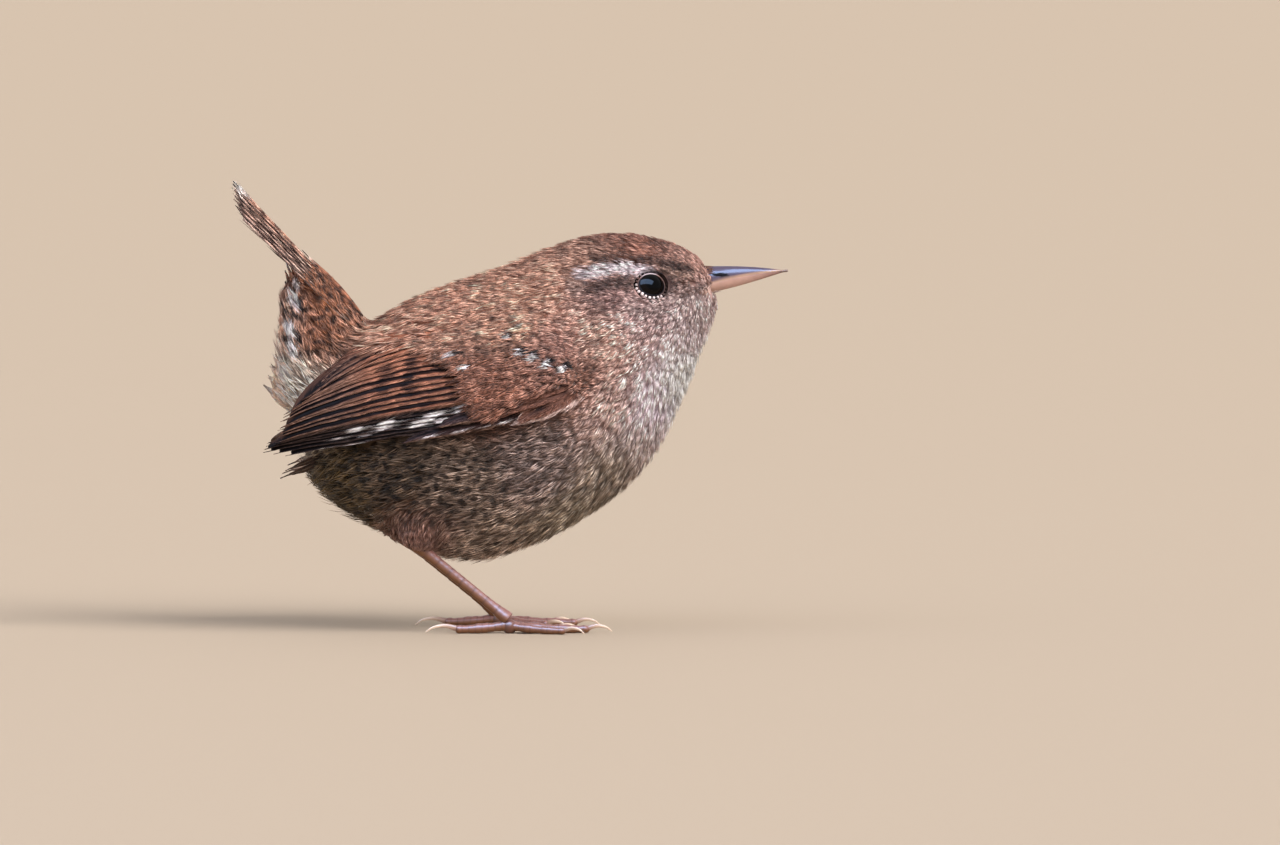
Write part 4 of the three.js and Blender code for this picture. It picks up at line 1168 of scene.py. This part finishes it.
def tract_vanes(name, tract):
    """The vanes of one tract of the wing and the barbs on them, as [points, faces, colours, patches]."""
    for i in range(tract["count"]):
        order = i / max(tract["count"] - 1, 1)
        t = order ** tract.get("ease", 1)
        fan = name in ("secondaries", "tertials")
        last = (i == tract["count"] - 1 or "open" in tract) and not fan
        repeats = fan and order == 1
        root, tip = ends_at(tract, t)
        if "farthest" in tract:
            tip[0] = mix(tip[0], tract["farthest"], math.sin(math.pi * min(t * 0.9 + 0.1, 1)) ** 0.7)
        width = mix(*tract["width"], t)
        shown = tract["strip"] / width
        columns = {0, shown * 0.4, shown * 0.62, shown, 0.3, 0.34, 0.6, 1}
        if repeats:
            columns |= set(np.linspace(0, 1, int(6 * width / tract["strip"])))
        vane, barbs = wing_vane(
            root, tip, sag=mix(*tract["sag"], t), width=width, columns=sorted(columns),
            layer=mix(*tract["layer"], order), rows=tract["rows"],
            barbs=tract["barbs"] * (2 if last or repeats else 1), shown=0.55 if last else shown,
            taper=tract.get("taper", 0.3), reach=1.2 if repeats else 1.02)
        tone = math.exp(draw.normal(0, 0.08))

        def coloured(points, s, across):
            """The feather's colour. The one that is seen whole shows the pattern of several."""
            if repeats:
                t = np.minimum(across, 1) * (0.5 + int(1 / shown)) % 1
            else:
                t = across / (0.9 if last else shown)
            return wing_colour(name, i, points, s, t) * tone

        points, faces, s, across = vane
        colour = coloured(points, s, across) * 0.8
        under = slice(len(points) // 2, None)
        colour[under] = laid(UNDER_WING, UNDER_WING * 0.5, band(points[under, 0] / BAR_STEP, 0.45, 0.2))
        yield points, faces, colour, vane_patches(s, across, faces)
        points, faces, s, across = barbs
        count = len(points) // BARB_POINTS
        ragged = points + np.repeat(draw.normal(0, 0.13, (count, 1)) * (1, 0, 0), BARB_POINTS, 0)
        colour = streaked(coloured(ragged, s, across) * 1.15, count)
        yield points, faces, colour, barb_patches(s, across, faces)


def wings():
    """The feathers of the right wing, and the same turned over for the left."""
    parts = [vane for name, tract in TRACTS.items() for vane in tract_vanes(name, tract)]
    points, faces, colours, patches = gathered(parts)
    for word, side in SIDES.items():
        way = 1 if side == RIGHT else -1
        turned = patches.reshape(-1, 3, 2)[:, ::way].reshape(-1, 2)
        mesh = mesh_from(points * (1, -side, 1), faces[:, ::way], colours, turned)
        finished("wing_feathers_" + word, mesh, flight_feather, "plumage_wing", ["wing_" + word])


wings()

# Tail

TAIL_ROOT, TAIL_TIP = np.array((-22.4, 46.2)), np.array((-40.2, 65.5))
TAIL_PAIRS = 6
TAIL_WIDTH = 4.2
TAIL_SPREAD = 0.85  # from pair to pair at the tip
TAIL_STEP = 0.25  # how far each pair lies below the one before
TAIL_SHORTER = 0.34  # how much shorter the second pair is than the first
TAIL_ROOF = 0.08  # how far a vane's sides slope down
TAIL_BOW = 0.2
TAIL_SHAFT = 0.36  # where the shaft is across a vane
TAIL_BAR = 3.1  # from bar to bar
TAIL_BARBS = 420
DARK_BROWN = linear((34, 22, 19))
TAIL_PALE = linear((214, 184, 170))


def tail_vane(pair, side):
    """A tail feather and its barbs, as [points, faces, colours, patches]. Pair 0 is in the middle, on top."""
    chord = np.linalg.norm(TAIL_TIP - TAIL_ROOT)
    along = (TAIL_TIP - TAIL_ROOT) / chord
    below = np.array((-along[1], along[0]))
    length = chord - TAIL_SHORTER * pair**1.35

    def place(s, t, under):
        outline = np.sqrt(np.clip((1.01 - s) / 0.035, 0, 1)) * mix(0.5, 1, smooth(s / 0.5))
        lateral = (t - TAIL_SHAFT) * TAIL_WIDTH * outline + (0.45 + TAIL_SPREAD * pair) * mix(0.45, 1, s)
        drop = TAIL_STEP * pair + TAIL_ROOF * np.abs(lateral) ** 1.4 + under * mix(*VANE, s)
        drop -= TAIL_BOW * 4 * s * (1 - s) + 0.06 * np.exp(-(((t - TAIL_SHAFT) / 0.05) ** 2))
        x = TAIL_ROOT[0] + along[0] * length * s + below[0] * drop
        z = TAIL_ROOT[1] + along[1] * length * s + below[1] * drop
        return np.stack([x, lateral, z], 1)

    for barbed in (False, True):
        if barbed:
            points, faces, s, t = barbs_on(place, TAIL_BARBS, length, (TAIL_SHAFT, -0.03, 1.03))
            colour = streaked(tail_colour(pair, s, t, length) * 1.1, TAIL_BARBS)
            barbs = points.reshape(-1, BARB_POINTS, 3)
            frayed = draw.uniform(0, 1, (TAIL_BARBS, 1)) ** 2 * (s.reshape(-1, BARB_POINTS)[:, 4:] > 0.95)
            barbs[:, 4] += frayed * np.array((along[0] * 0.5, 0, along[1] * 0.5))
            barbs[:, 4] += frayed * draw.normal(0, 0.35, (TAIL_BARBS, 3))
        else:
            columns = (0, 0.12, 0.24, 0.34, 0.38, 0.6, 0.8, 1)
            points, faces, s, t = sheet(place, np.linspace(0.1, 0.975, 70), columns)
            colour = tail_colour(pair, s, t, length)
        faces = faces if side == LEFT else faces[:, ::-1]
        patches = barb_patches if barbed else vane_patches
        yield points * (1, side, 1), faces, colour, patches(s, t, faces)


def tail_colour(pair, s, t, length):
    """Brown with dark bars and a darker strip along, paler towards the outer pairs and the tip."""
    mm = s * length
    bar = band(mm / TAIL_BAR + 0.3 * math.sin(pair * 2.1) + 0.4 * np.abs(t - TAIL_SHAFT), 0.4, 0.2)
    end = smooth((s - 0.93) / 0.06) * (1 if pair < 2 else 0.25)
    strip = band(t * 2.6 + 0.35 * pair + 0.1 * np.sin(mm * 0.7 + pair), 0.3, 0.14)
    own = mix(linear((166, 118, 98)), linear((226, 182, 166)), pair / (TAIL_PAIRS - 1))
    colour = laid(laid(own, linear((236, 220, 214)), end), linear((48, 30, 26)), bar * (0.95 - 0.8 * end))
    colour = laid(colour, DARK_BROWN, 0.75 * strip * (1 - 0.6 * end))
    pale = smooth((0.16 - t) / 0.04) + smooth((t - 0.86) / 0.04)
    colour = laid(colour, TAIL_PALE, 0.55 * np.clip(pale, 0, 1) * (1 - bar))
    rim = smooth((0.06 - t) / 0.04) + smooth((t - 0.95) / 0.04)
    return laid(colour, DARK_BROWN, 0.8 * np.clip(rim, 0, 1)) * BRIGHTEN


# Soft feathers round the tail's root and under the wings' tips. Each row is drawn by its first and its last
# feather as [x, z], with how far out they lie, their width, how blunt they are and how much they turn aside.
TUFTS = {
    "tail_coverts_under": dict(
        count=9, root=((-28.4, 45.0), (-31.8, 39.6)), tip=((-33.0, 56.6), (-33.9, 46.0)),
        out=(0.2, 2.6), width=3.0, blunt=0.35, turn=0.9),
    "tail_coverts_upper": dict(
        count=7, root=((-22.0, 46.6), (-22.6, 44.4)), tip=((-30.2, 55.4), (-28.4, 50.0)),
        out=(0.2, 2.8), width=3.0, blunt=0.35, turn=0.9),
    "vent_tuft": dict(
        count=4, root=((-30.8, 31.9), (-31.4, 35.4)), tip=((-35.8, 35.6), (-34.4, 39.6)),
        out=(1.0, 3.8), width=2.6, blunt=0.2, turn=1.2),
    "tufts_below_wings": dict(
        count=2, root=((-27.0, 26.0), (-27.6, 26.8)), tip=((-32.9, 23.4), (-32.2, 24.6)),
        out=(6.0, 7.0), width=0.8, blunt=0.35, turn=0.9),
}
TUFT_BARBS = 420
TUFT_THICKNESS = 0.08
COVERT_BAR = 2.6


def tuft_colour(name, index, points, s, t, length):
    """The colour of one soft feather."""
    if name == "vent_tuft":
        white = np.exp(-(((s - 0.8) / 0.3) ** 4) - (((t - 0.5) / 0.4) ** 4))
        return laid(linear((206, 176, 158)), linear((246, 238, 248)), white) * 1.5
    if name == "tufts_below_wings":
        shaft = np.exp(-(((t - 0.5) / 0.12) ** 2)) * smooth(s / 0.3)
        return laid(linear((88, 66, 54)), linear((190, 164, 144)), shaft)
    if name == "tail_coverts_under":
        light, dark = colours_at(points)
        black = np.exp(-(((s - 0.5) / 0.14) ** 2) - (((t - 0.5) / 0.3) ** 2))
        return laid(light, dark, 0.7 * black)
    bar = band(s * length / COVERT_BAR + 0.3 * index, 0.36, 0.2)
    colour = laid(linear((150, 98, 74)), linear((52, 32, 26)), bar)
    return laid(colour, linear((226, 200, 186)), 0.8 * smooth((s - 0.93) / 0.05))


def tuft_vanes(name, tract):
    """Long soft feathers on both sides, as [points, faces, colours, patches]."""
    underneath = name != "tail_coverts_upper"
    for i in range(tract["count"]):
        t = i / (tract["count"] - 1)
        root, tip = ends_at(tract, t)
        tip = mix(root, tip, 1 - 0.12 * ((t + 0.17 * (i % 3)) % 1.0))
        length = np.linalg.norm(tip - root)
        ahead = (tip - root) / length
        below = np.array((-ahead[1], ahead[0])) * (1 if underneath else -1)
        middle = mix(*tract["out"], t)
        twist = tract["turn"] * min(middle / 2, 1)

        def place(s, t, under):
            outline = np.sqrt(np.clip((1.01 - s) / tract["blunt"], 0, 1)) * mix(0.4, 1, smooth(s / 0.4))
            across = (t - 0.5) * tract["width"] * outline
            lateral = across * math.cos(twist)
            thick = under * TUFT_THICKNESS
            lift = (0.3 if underneath else 0.5) * np.sin(math.pi * np.clip(s, 0, 1)) - 0.16 * lateral**2
            lift -= across * math.sin(twist) + thick * math.cos(twist)
            x = root[0] + ahead[0] * length * s + below[0] * lift
            z = root[1] + ahead[1] * length * s + below[1] * lift
            return np.stack([x, middle * mix(0.6, 1, s) + lateral - thick * math.sin(twist), z], 1)

        for barbed in (False, True):
            if barbed:
                points, faces, s, t = barbs_on(place, TUFT_BARBS, length, (0.5, -0.06, 1.06))
            else:
                points, faces, s, t = sheet(place, np.linspace(0, 0.94, 24), (0.06, 0.25, 0.5, 0.75, 0.94))
            colour = tuft_colour(name, i, points, s, t, length)
            if barbed:
                colour = streaked(colour, TUFT_BARBS)
            out = (not barbed) != underneath
            patches = barb_patches if barbed else vane_patches
            for side in (RIGHT, LEFT):
                turned = faces if out == (side == LEFT) else faces[:, ::-1]
                yield points * (1, side, 1), turned, colour, patches(s, t, turned)


def tail():
    """The tail feathers and the soft feathers round them."""
    parts = [part for pair in range(TAIL_PAIRS) for side in (RIGHT, LEFT) for part in tail_vane(pair, side)]
    finished("tail_feathers", mesh_from(*gathered(parts)), flight_feather, "plumage_tail", ["tail"])
    for name, tract in TUFTS.items():
        finished(name, mesh_from(*gathered(list(tuft_vanes(name, tract)))), soft_feather, "plumage_tail")


tail()

# Bill

BILL = dict(root=27.2, tip=40.9, tip_z=53.3, top=53.9, gape=50.7, bottom=49.6, half_width=2.1)
FACE_MIDDLE = 51.75  # the height of the bill's middle where it leaves the face
NOSTRIL = (30.9, 52.75)
BILL_RINGS = 90
LEAST_TALL = 0.16  # of either half at the tip
BRISTLES = 380


def gape_line(t):
    """The height of the line between the two halves of the bill."""
    return mix(BILL["gape"], BILL["tip_z"], np.clip(t, 0, 1) ** 0.9) + 0.35 * np.sin(math.pi * t)


def bill_width(t):
    """Half the width of the bill."""
    t = np.clip(t, 0, 1)
    return BILL["half_width"] * (1 - t) ** 0.85 * mix(1, 0.72, np.sin(math.pi * t))


def bill_rings(upper):
    """The rings of one half of the bill, from its root to its tip."""
    for i in range(BILL_RINGS + 1):
        t = min(i / BILL_RINGS, 0.997)
        half = bill_width(t) + 0.1
        if upper:
            edge = gape_line(t) + 0.03
            end = mix(BILL["top"], BILL["tip_z"], t**2.4) + 0.15 * math.sin(math.pi * t)
            tall = max(end - edge, LEAST_TALL)
        else:
            half += 0.8 * max(1 - t / 0.15, 0)
            edge = gape_line(t) - 0.03
            end = mix(BILL["bottom"], BILL["tip_z"], t**1.15) - 0.1 * math.sin(math.pi * t)
            tall = min(end - edge, -LEAST_TALL)
        yield (mix(BILL["root"], BILL["tip"], t), 0, edge), (0, 0, tall), (0, half, 0)


def bill_half(name, node, upper):
    """The upper or the lower half of the bill."""
    bm = bmesh.new()
    tube(bm, list(bill_rings(upper)), 48, lambda i, deep, wide: (deep**0.9 if deep > 0 else 0.1 * deep, wide))
    if upper:
        for v in bm.verts:
            along, above = v.co.x - NOSTRIL[0], v.co.z - NOSTRIL[1] - 0.42
            v.co.y *= 1 + 0.05 * math.exp(-((above / 0.14) ** 2) - (along / 1.4) ** 2)
    piece = shaped(name, bm, horn, node, [node], 1)
    x, _, z = places_of(piece).T
    t = (x - BILL["root"]) / (BILL["tip"] - BILL["root"])
    if upper:
        colour = laid(linear((176, 142, 122)), linear((78, 66, 86)), smooth((z - gape_line(t) - 0.12) / 0.4))
        along, up = x - NOSTRIL[0], z - NOSTRIL[1]
        dent = np.hypot(along / 1.35, (up + 0.08 * along) / 0.34)
        # Dark round the nostril, as painted shade of its opening.
        colour = laid(colour, linear((24, 18, 20)), 1 - smooth((dent - 0.75) / 0.4))
    else:
        colour = laid(linear((176, 140, 128)), linear((132, 98, 92)), smooth((t - 0.5) / 0.5))
        colour = laid(colour, linear((186, 152, 134)), 1 - smooth(t / 0.3))
    paint(piece.data, laid(colour, linear((70, 56, 58)), 0.7 * smooth((t - 0.86) / 0.12)))


def nostrils():
    """Dark sheets in the openings at the sides of the bill, as painted shade of their hollows."""
    bm = bmesh.new()
    for side in (RIGHT, LEFT):
        made = bmesh.ops.create_icosphere(bm, subdivisions=3, radius=1)["verts"]
        bmesh.ops.scale(bm, vec=(1.3, 0.14, 0.24), verts=made)
        lean = Matrix.Rotation(side * -0.16, 4, "Z") @ Matrix.Rotation(side * 0.28, 4, "X")
        place = Matrix.Translation((NOSTRIL[0], side * 1.2, NOSTRIL[1]))
        bmesh.ops.transform(bm, matrix=place @ lean, verts=made)
    piece = shaped("nostrils", bm, lid_skin, "bill_upper")
    # Painted near black, the painted shade inside the nostrils.
    paint(piece.data, np.tile(linear((20, 15, 18)), (len(piece.data.vertices), 1)))


def bristles():
    """Fine feathers that reach forward over the root of the bill, on both sides."""
    turn = draw.uniform(0, 2 * math.pi, BRISTLES)
    turn = turn[np.abs(np.cos(turn) + 0.55) > 0.3]  # none over the corner of the bill
    count = len(turn)
    low = np.cos(turn) < -0.3
    root = draw.uniform(27.6, 28.8, count) + low * 0.5
    length = draw.uniform(0.7, 1.5, count) + low * 0.4

    def ring(x, swell):
        t = (x - BILL["root"]) / (BILL["tip"] - BILL["root"])
        middle = FACE_MIDDLE + 0.08 * (x - 27)
        tall = mix(2.15, 1.7, np.clip(t * 4, 0, 1))
        y = np.sin(turn) * (bill_width(t) + swell)
        return np.stack([x, y, middle + np.cos(turn) * (tall + swell)], 1)

    p0, p1, p2 = ring(root, -0.3), ring(root + length * 0.5, 0.12), ring(root + length, 0.22)
    out = unit(p1 * (0, 1, 1) - (0, 0, FACE_MIDDLE + 0.05))
    flat = unit(np.cross(out, unit(p2 - p0)))
    corners = np.stack([p0, p1 + flat * 0.07, p1 - flat * 0.07, p1 - out * 0.05, p2], 1).reshape(-1, 3)
    colour = np.where(low[:, None], linear((160, 136, 130)), linear((92, 62, 50)))
    colour = streaked(np.repeat(colour, BARB_POINTS, 0) * BRIGHTEN, count)
    finished("bill_bristles", mesh_from(corners, spindles(count), colour), soft_feather, "plumage_crown")


# Eyes

LID_FLAT = 0.86  # the lid's opening is this much lower than it is wide
LID_LOW, LID_BACK = 0.14, 0.08  # how far its middle is below and behind the eye's
LID_STEPS = 64
BEADS = 23


def lid_point(centre, facing, ring, turn, lift=0.0):
    """A point on the ball, on an oval round its axis, and the way out there. Turn 0 is at the top and a
    quarter is towards the bill."""
    ahead = Vector((1, 0, 0))
    ahead = (ahead - facing * ahead.dot(facing)).normalized()
    up = Vector((0, 0, 1))
    up = (up - facing * up.dot(facing) - ahead * up.dot(ahead)).normalized()
    angle = 2 * math.pi * turn
    across = up * (ring * LID_FLAT * math.cos(angle) - LID_LOW) + ahead * (ring * math.sin(angle) - LID_BACK)
    out = math.sqrt(EYE["radius"] ** 2 - min(across.length_squared, 6.2))
    way = (across + facing * out).normalized()
    return centre + way * (EYE["radius"] + lift), way


def eyeball(word, centre, facing):
    """A dark ball with a slight bulge at the front."""
    turn = Vector((0, 0, 1)).rotation_difference(facing).to_matrix().to_4x4()
    bm = bmesh.new()
    bmesh.ops.create_uvsphere(bm, u_segments=56, v_segments=40, radius=EYE["radius"])
    for v in bm.verts:
        bulge = max(v.co.z / EYE["radius"] - 0.72, 0) / 0.28
        v.co += Vector((0, 0, 0.14 * bulge))
    bmesh.ops.transform(bm, matrix=Matrix.Translation(centre) @ turn, verts=bm.verts)
    ball = shaped("eyeball_" + word, bm, wet, "eye", ["eye_" + word])
    off = places_of(ball) - np.array(centre)
    out = off @ np.array(facing)
    wide = np.linalg.norm(off - out[:, None] * np.array(facing), axis=1)
    iris = laid(linear((3, 3, 4)), linear((14, 9, 8)), smooth((wide - 1.15) / 0.25))
    paint(ball.data, laid(iris, linear((10, 7, 7)), smooth((wide - 1.85) / 0.2)))


def eyelid(word, centre, facing):
    """A thin dark lid round the eye, with a row of beads that are pale below."""
    bm = bmesh.new()
    rings = []
    for k in range(LID_STEPS + 1):
        place, way = lid_point(centre, facing, 2.0, k / LID_STEPS)
        inner, _ = lid_point(centre, facing, 1.84, k / LID_STEPS, 0.02)
        rings.append((place, inner - place, way * 0.1))
    tube(bm, rings, 12)
    bmesh.ops.remove_doubles(bm, verts=bm.verts, dist=0.001)
    first = len(bm.verts)
    tones = []
    for k in range(BEADS):
        low = 0.5 - 0.5 * math.cos(2 * math.pi * (k / BEADS - 0.06))
        place, _ = lid_point(centre, facing, 2.14 + 0.04 * math.sin(k * 1.7), k / BEADS, 0.24)
        size = mix(0.04, 0.25, low) * draw.uniform(0.85, 1.15)
        bmesh.ops.create_icosphere(bm, subdivisions=2, radius=size, matrix=Matrix.Translation(place))
        tones.append((low, len(bm.verts)))
    lid = shaped("eyelid_" + word, bm, lid_skin, "plumage_crown")
    where = places_of(lid)
    off = where - np.array(centre)
    up = np.array(lid_point(centre, facing, 1, 0)[0] - lid_point(centre, facing, 1, 0.5)[0])
    ahead = np.array(lid_point(centre, facing, 1, 0.25)[0] - lid_point(centre, facing, 1, 0.75)[0])
    oval = np.hypot(off @ unit(ahead) + LID_BACK, (off @ unit(up) + LID_LOW) / LID_FLAT)
    tone = laid(linear((20, 15, 16)), colours_at(where)[0] * 0.5, smooth((oval - 1.97) / 0.09))
    for low, last in tones:
        tone[first:last] = mix(tone[first:last] * 0.8, linear((226, 212, 214)), smooth((low - 0.6) / 0.25))
        first = last
    paint(lid.data, tone)


def eye(word, side):
    """One eye with its lid."""
    centre = Vector(EYE["at"]) * Vector((1, side, 1))
    facing = (Vector(EYE["facing"]) * Vector((1, side, 1))).normalized()
    eyeball(word, centre, facing)
    eyelid(word, centre, facing)


# Legs

ANKLE, FOOT = Vector((-14.3, 7.7, 13.3)), Vector((-0.5, 7.7, 2.1))
LEFT_FOOT_BACK = -1.8
SHANK_RINGS, TOE_RINGS, CLAW_RINGS = 96, 60, 24
SHANK_SCUTES = 8
SCUTE_HEIGHT = 0.09
# Each toe's angle from straight ahead, its length and half thickness, and the length of its claw
TOES = {
    "middle": (-2, 12.0, 0.7, 4.2),
    "inner": (-24, 8.4, 0.66, 3.8),
    "outer": (20, 9.0, 0.64, 3.8),
    "hind": (176, 7.8, 0.74, 5.4),
}


def placed(point, side):
    """A place on one of the legs. The left one stands a little further back."""
    shift = LEFT_FOOT_BACK if side == LEFT else 0
    return Vector((point.x + shift, side * point.y, point.z))


def limb(bm, path, size, count, sides, across=Vector((0, 1, 0)), shape=None):
    """A tube along a smooth path, whose half depth and half width at t are given by size(t)."""
    points = bent([tuple(p) for p in path], count * 4 + 1)
    rings = []
    for i in range(count + 1):
        here = Vector(points[i * 4])
        near, far = points[max(i * 4 - 1, 0)], points[min(i * 4 + 1, count * 4)]
        ahead = Vector(far - near).normalized()
        up = ahead.cross(across).normalized()
        wide = ahead.cross(up)
        deep_size, wide_size = size(i / count)
        rings.append((here, up * deep_size, wide * wide_size))
    tube(bm, rings, sides, shape)


def above_floor(verts):
    """Presses flat what would reach below the floor."""
    for v in verts:
        v.co.z = max(v.co.z, 0.0)


def scaly(share, count):
    """How far a row of overlapping scutes stands out at a share of the way down."""
    step = (share * count) % 1
    return float(SCUTE_HEIGHT * (1 - step) ** 0.6 * smooth(step / 0.12))


def shank(word, side):
    """The scaly leg from the ankle to the ball of the foot."""
    top, foot = placed(ANKLE, side), placed(FOOT, side)
    bm = bmesh.new()

    def size(t):
        ankle = math.exp(-((t / 0.13) ** 2))
        toes = math.exp(-(((1 - t) / 0.12) ** 2))
        return (0.72 + 0.33 * ankle + 0.3 * toes, 0.56 + 0.38 * ankle + 0.5 * toes)

    def shape(i, deep, wide):
        t = i / SHANK_RINGS
        stand = 1 + scaly(t, SHANK_SCUTES) * max(-deep, 0) ** 0.5
        stand += 0.05 * abs(math.sin(t * 60)) * (deep > 0.3)
        return deep * stand, wide * stand * (1 - 0.25 * max(deep, 0))

    limb(bm, [top, top.lerp(foot, 0.5), foot], size, SHANK_RINGS, 20, shape=shape)
    ball = bmesh.ops.create_uvsphere(bm, u_segments=24, v_segments=16, radius=1.1)["verts"]
    bmesh.ops.transform(bm, matrix=Matrix.Translation((foot.x + 0.2, foot.y, 1.02)), verts=ball)
    above_floor(ball)
    piece = shaped("leg_" + word, bm, scutes, "leg", ["shank_" + word])
    tint_leg(piece, top, foot, SHANK_SCUTES)


def tint_leg(piece, start, end, count):
    """Paints brown skin, greyer on top as a painted highlight, with a dark edge at each of its scutes."""
    at = places_of(piece)
    run = np.array(end - start)
    share = np.clip((at - np.array(start)) @ run / (run @ run), 0, 1)
    step = (share * count) % 1
    edge = smooth(1 - step / 0.16) + smooth((step - 0.9) / 0.1)
    up = np.array([v.normal.z for v in piece.data.vertices])
    # The side that faces up is lighter and greyer: a painted highlight.
    colour = laid(linear((108, 70, 42)), linear((138, 98, 92)), smooth(up * 0.8 + 0.4))
    paint(piece.data, laid(colour, linear((84, 54, 48)), np.clip(edge, 0, 1) * 0.6))


def toe(word, side, name):
    """A toe with its joints' pads and scutes, and its curved claw."""
    angle, length, thick, claw_length = TOES[name]
    foot = placed(FOOT, side)
    turn = math.radians(angle)
    ahead = Vector((math.cos(turn), side * math.sin(turn), 0))
    across = Vector((-ahead.y, ahead.x, 0))

    def at(run, z):
        return Vector((foot.x, foot.y, z)) + ahead * run

    joints = 2 if name == "hind" else 3
    level = thick * 0.92
    rows = int(length * 1.15)

    def size(t):
        pad = 0.09 * math.cos(2 * math.pi * joints * t)
        r = thick * mix(1.02, 0.78, t) * (1 + pad) * math.sqrt(max(1 - max((t - 0.93) / 0.08, 0) ** 2, 0.2))
        return r, r

    def shape(i, deep, wide):
        t = i / TOE_RINGS
        stand = 1 + scaly(t, rows) * max(-deep, 0) ** 0.5
        pads = 1 + 0.05 * math.sin(t * joints * 2 * math.pi * 3) * max(deep, 0)
        return deep * stand * pads, wide * stand

    bm = bmesh.new()
    heights = ((0.02, 0.5), (0.35, 0.2), (0.7, 0), (1, -0.04))
    limb(bm, [at(share * length, level + up) for share, up in heights], size, TOE_RINGS, 16, across, shape)
    above_floor(bm.verts)
    piece = shaped(f"toe_skin_{name}_{word}", bm, scutes, "leg", [f"toe_{name}_{word}"])
    tint_leg(piece, at(0, 0), at(length, 0), rows)

    start = length - 0.5
    heights = ((0, thick * 0.9), (0.36, thick * 1.55), (0.7, thick * 1.25), (0.92, 0.2))
    path = [at(start + share * claw_length, z) for share, z in heights]
    bm = bmesh.new()
    limb(bm, path, lambda t: (mix(thick * 0.66, 0.07, t**0.85), mix(thick * 0.5, 0.05, t**0.8)),
         CLAW_RINGS, 14, across)
    above_floor(bm.verts)
    claw = shaped(f"claw_horn_{name}_{word}", bm, claw_horn, "claw", [f"claw_{name}_{word}"], 1)
    share = np.clip((places_of(claw) - np.array(at(start, 0))) @ np.array(ahead) / claw_length, 0, 1)
    paint(claw.data, laid(linear((150, 118, 106)), linear((214, 190, 170)), smooth(share / 0.7)))


bill_half("upper_mandible", "bill_upper", True)
bill_half("lower_mandible", "bill_lower", False)
nostrils()
bristles()
for word, side in SIDES.items():
    eye(word, side)
    shank(word, side)
    for name in TOES:
        toe(word, side, name)

# Floor and light

FLOOR_RADIUS = 6000
BIRD_MIDDLE = Vector((0, 0, 0.035))


def floor():
    """A plain pale floor."""
    bm = bmesh.new()
    bmesh.ops.create_circle(bm, cap_ends=True, segments=96, radius=FLOOR_RADIUS * MM)
    mesh = bpy.data.meshes.new("floor")
    bm.to_mesh(mesh)
    bm.free()
    material, shader = surface_material("floor", roughness=0.9, specular=0.1)
    shader.inputs["Base Color"].default_value = (*linear((174, 157, 139)), 1)
    mesh.materials.append(material)
    ground = in_scene("floor", mesh)
    ground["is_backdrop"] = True


def lamp(name, kind, place, energy, colour, **settings):
    """A light at a place in metres, turned to the bird."""
    data = bpy.data.lights.new(name, kind)
    data.energy = energy
    data.color = colour
    for key, value in settings.items():
        setattr(data, key, value)
    lit = in_scene(name, data)
    lit.location = place
    lit.rotation_euler = (Vector(place) - BIRD_MIDDLE).to_track_quat("Z", "Y").to_euler()
    return lit


def surroundings():
    """Soft light from all sides, with a plain pale tone behind the bird."""
    world = bpy.data.worlds.new("studio")
    world.use_nodes = True
    tree = world.node_tree
    background = tree.nodes["Background"]
    background.inputs["Color"].default_value = (0.98, 0.98, 1, 1)
    background.inputs["Strength"].default_value = 0.75
    seen = linked(tree, "ShaderNodeBackground", (*linear((226, 207, 184)).tolist(), 1))
    ray = tree.nodes.new("ShaderNodeLightPath")
    shaders = background.outputs[0], seen.outputs[0]
    either = linked(tree, "ShaderNodeMixShader", ray.outputs["Is Camera Ray"], *shaders)
    tree.links.new(either.outputs[0], tree.nodes["World Output"].inputs["Surface"])
    bpy.context.scene.world = world


floor()
for name, place, strength, angle, colour in (
        ("key light", (0.95, -0.74, 0.955), 4.0, 40, (1, 0.99, 0.97)),
        ("fill light", (-0.8, -0.7, 0.535), 0.8, 90, (1, 0.99, 0.98))):
    lamp(name, "SUN", place, strength, colour, angle=math.radians(angle)).visible_glossy = False
window = lamp("window light", "AREA", (-0.3, -0.8, 1.15), 130, (0.42, 0.62, 1),
              shape="RECTANGLE", size=2.2, size_y=1.0)
window.visible_diffuse = False
surroundings()

boxes = [[list(map(float, corner)) for corner in box] for box in (solids_box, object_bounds())]
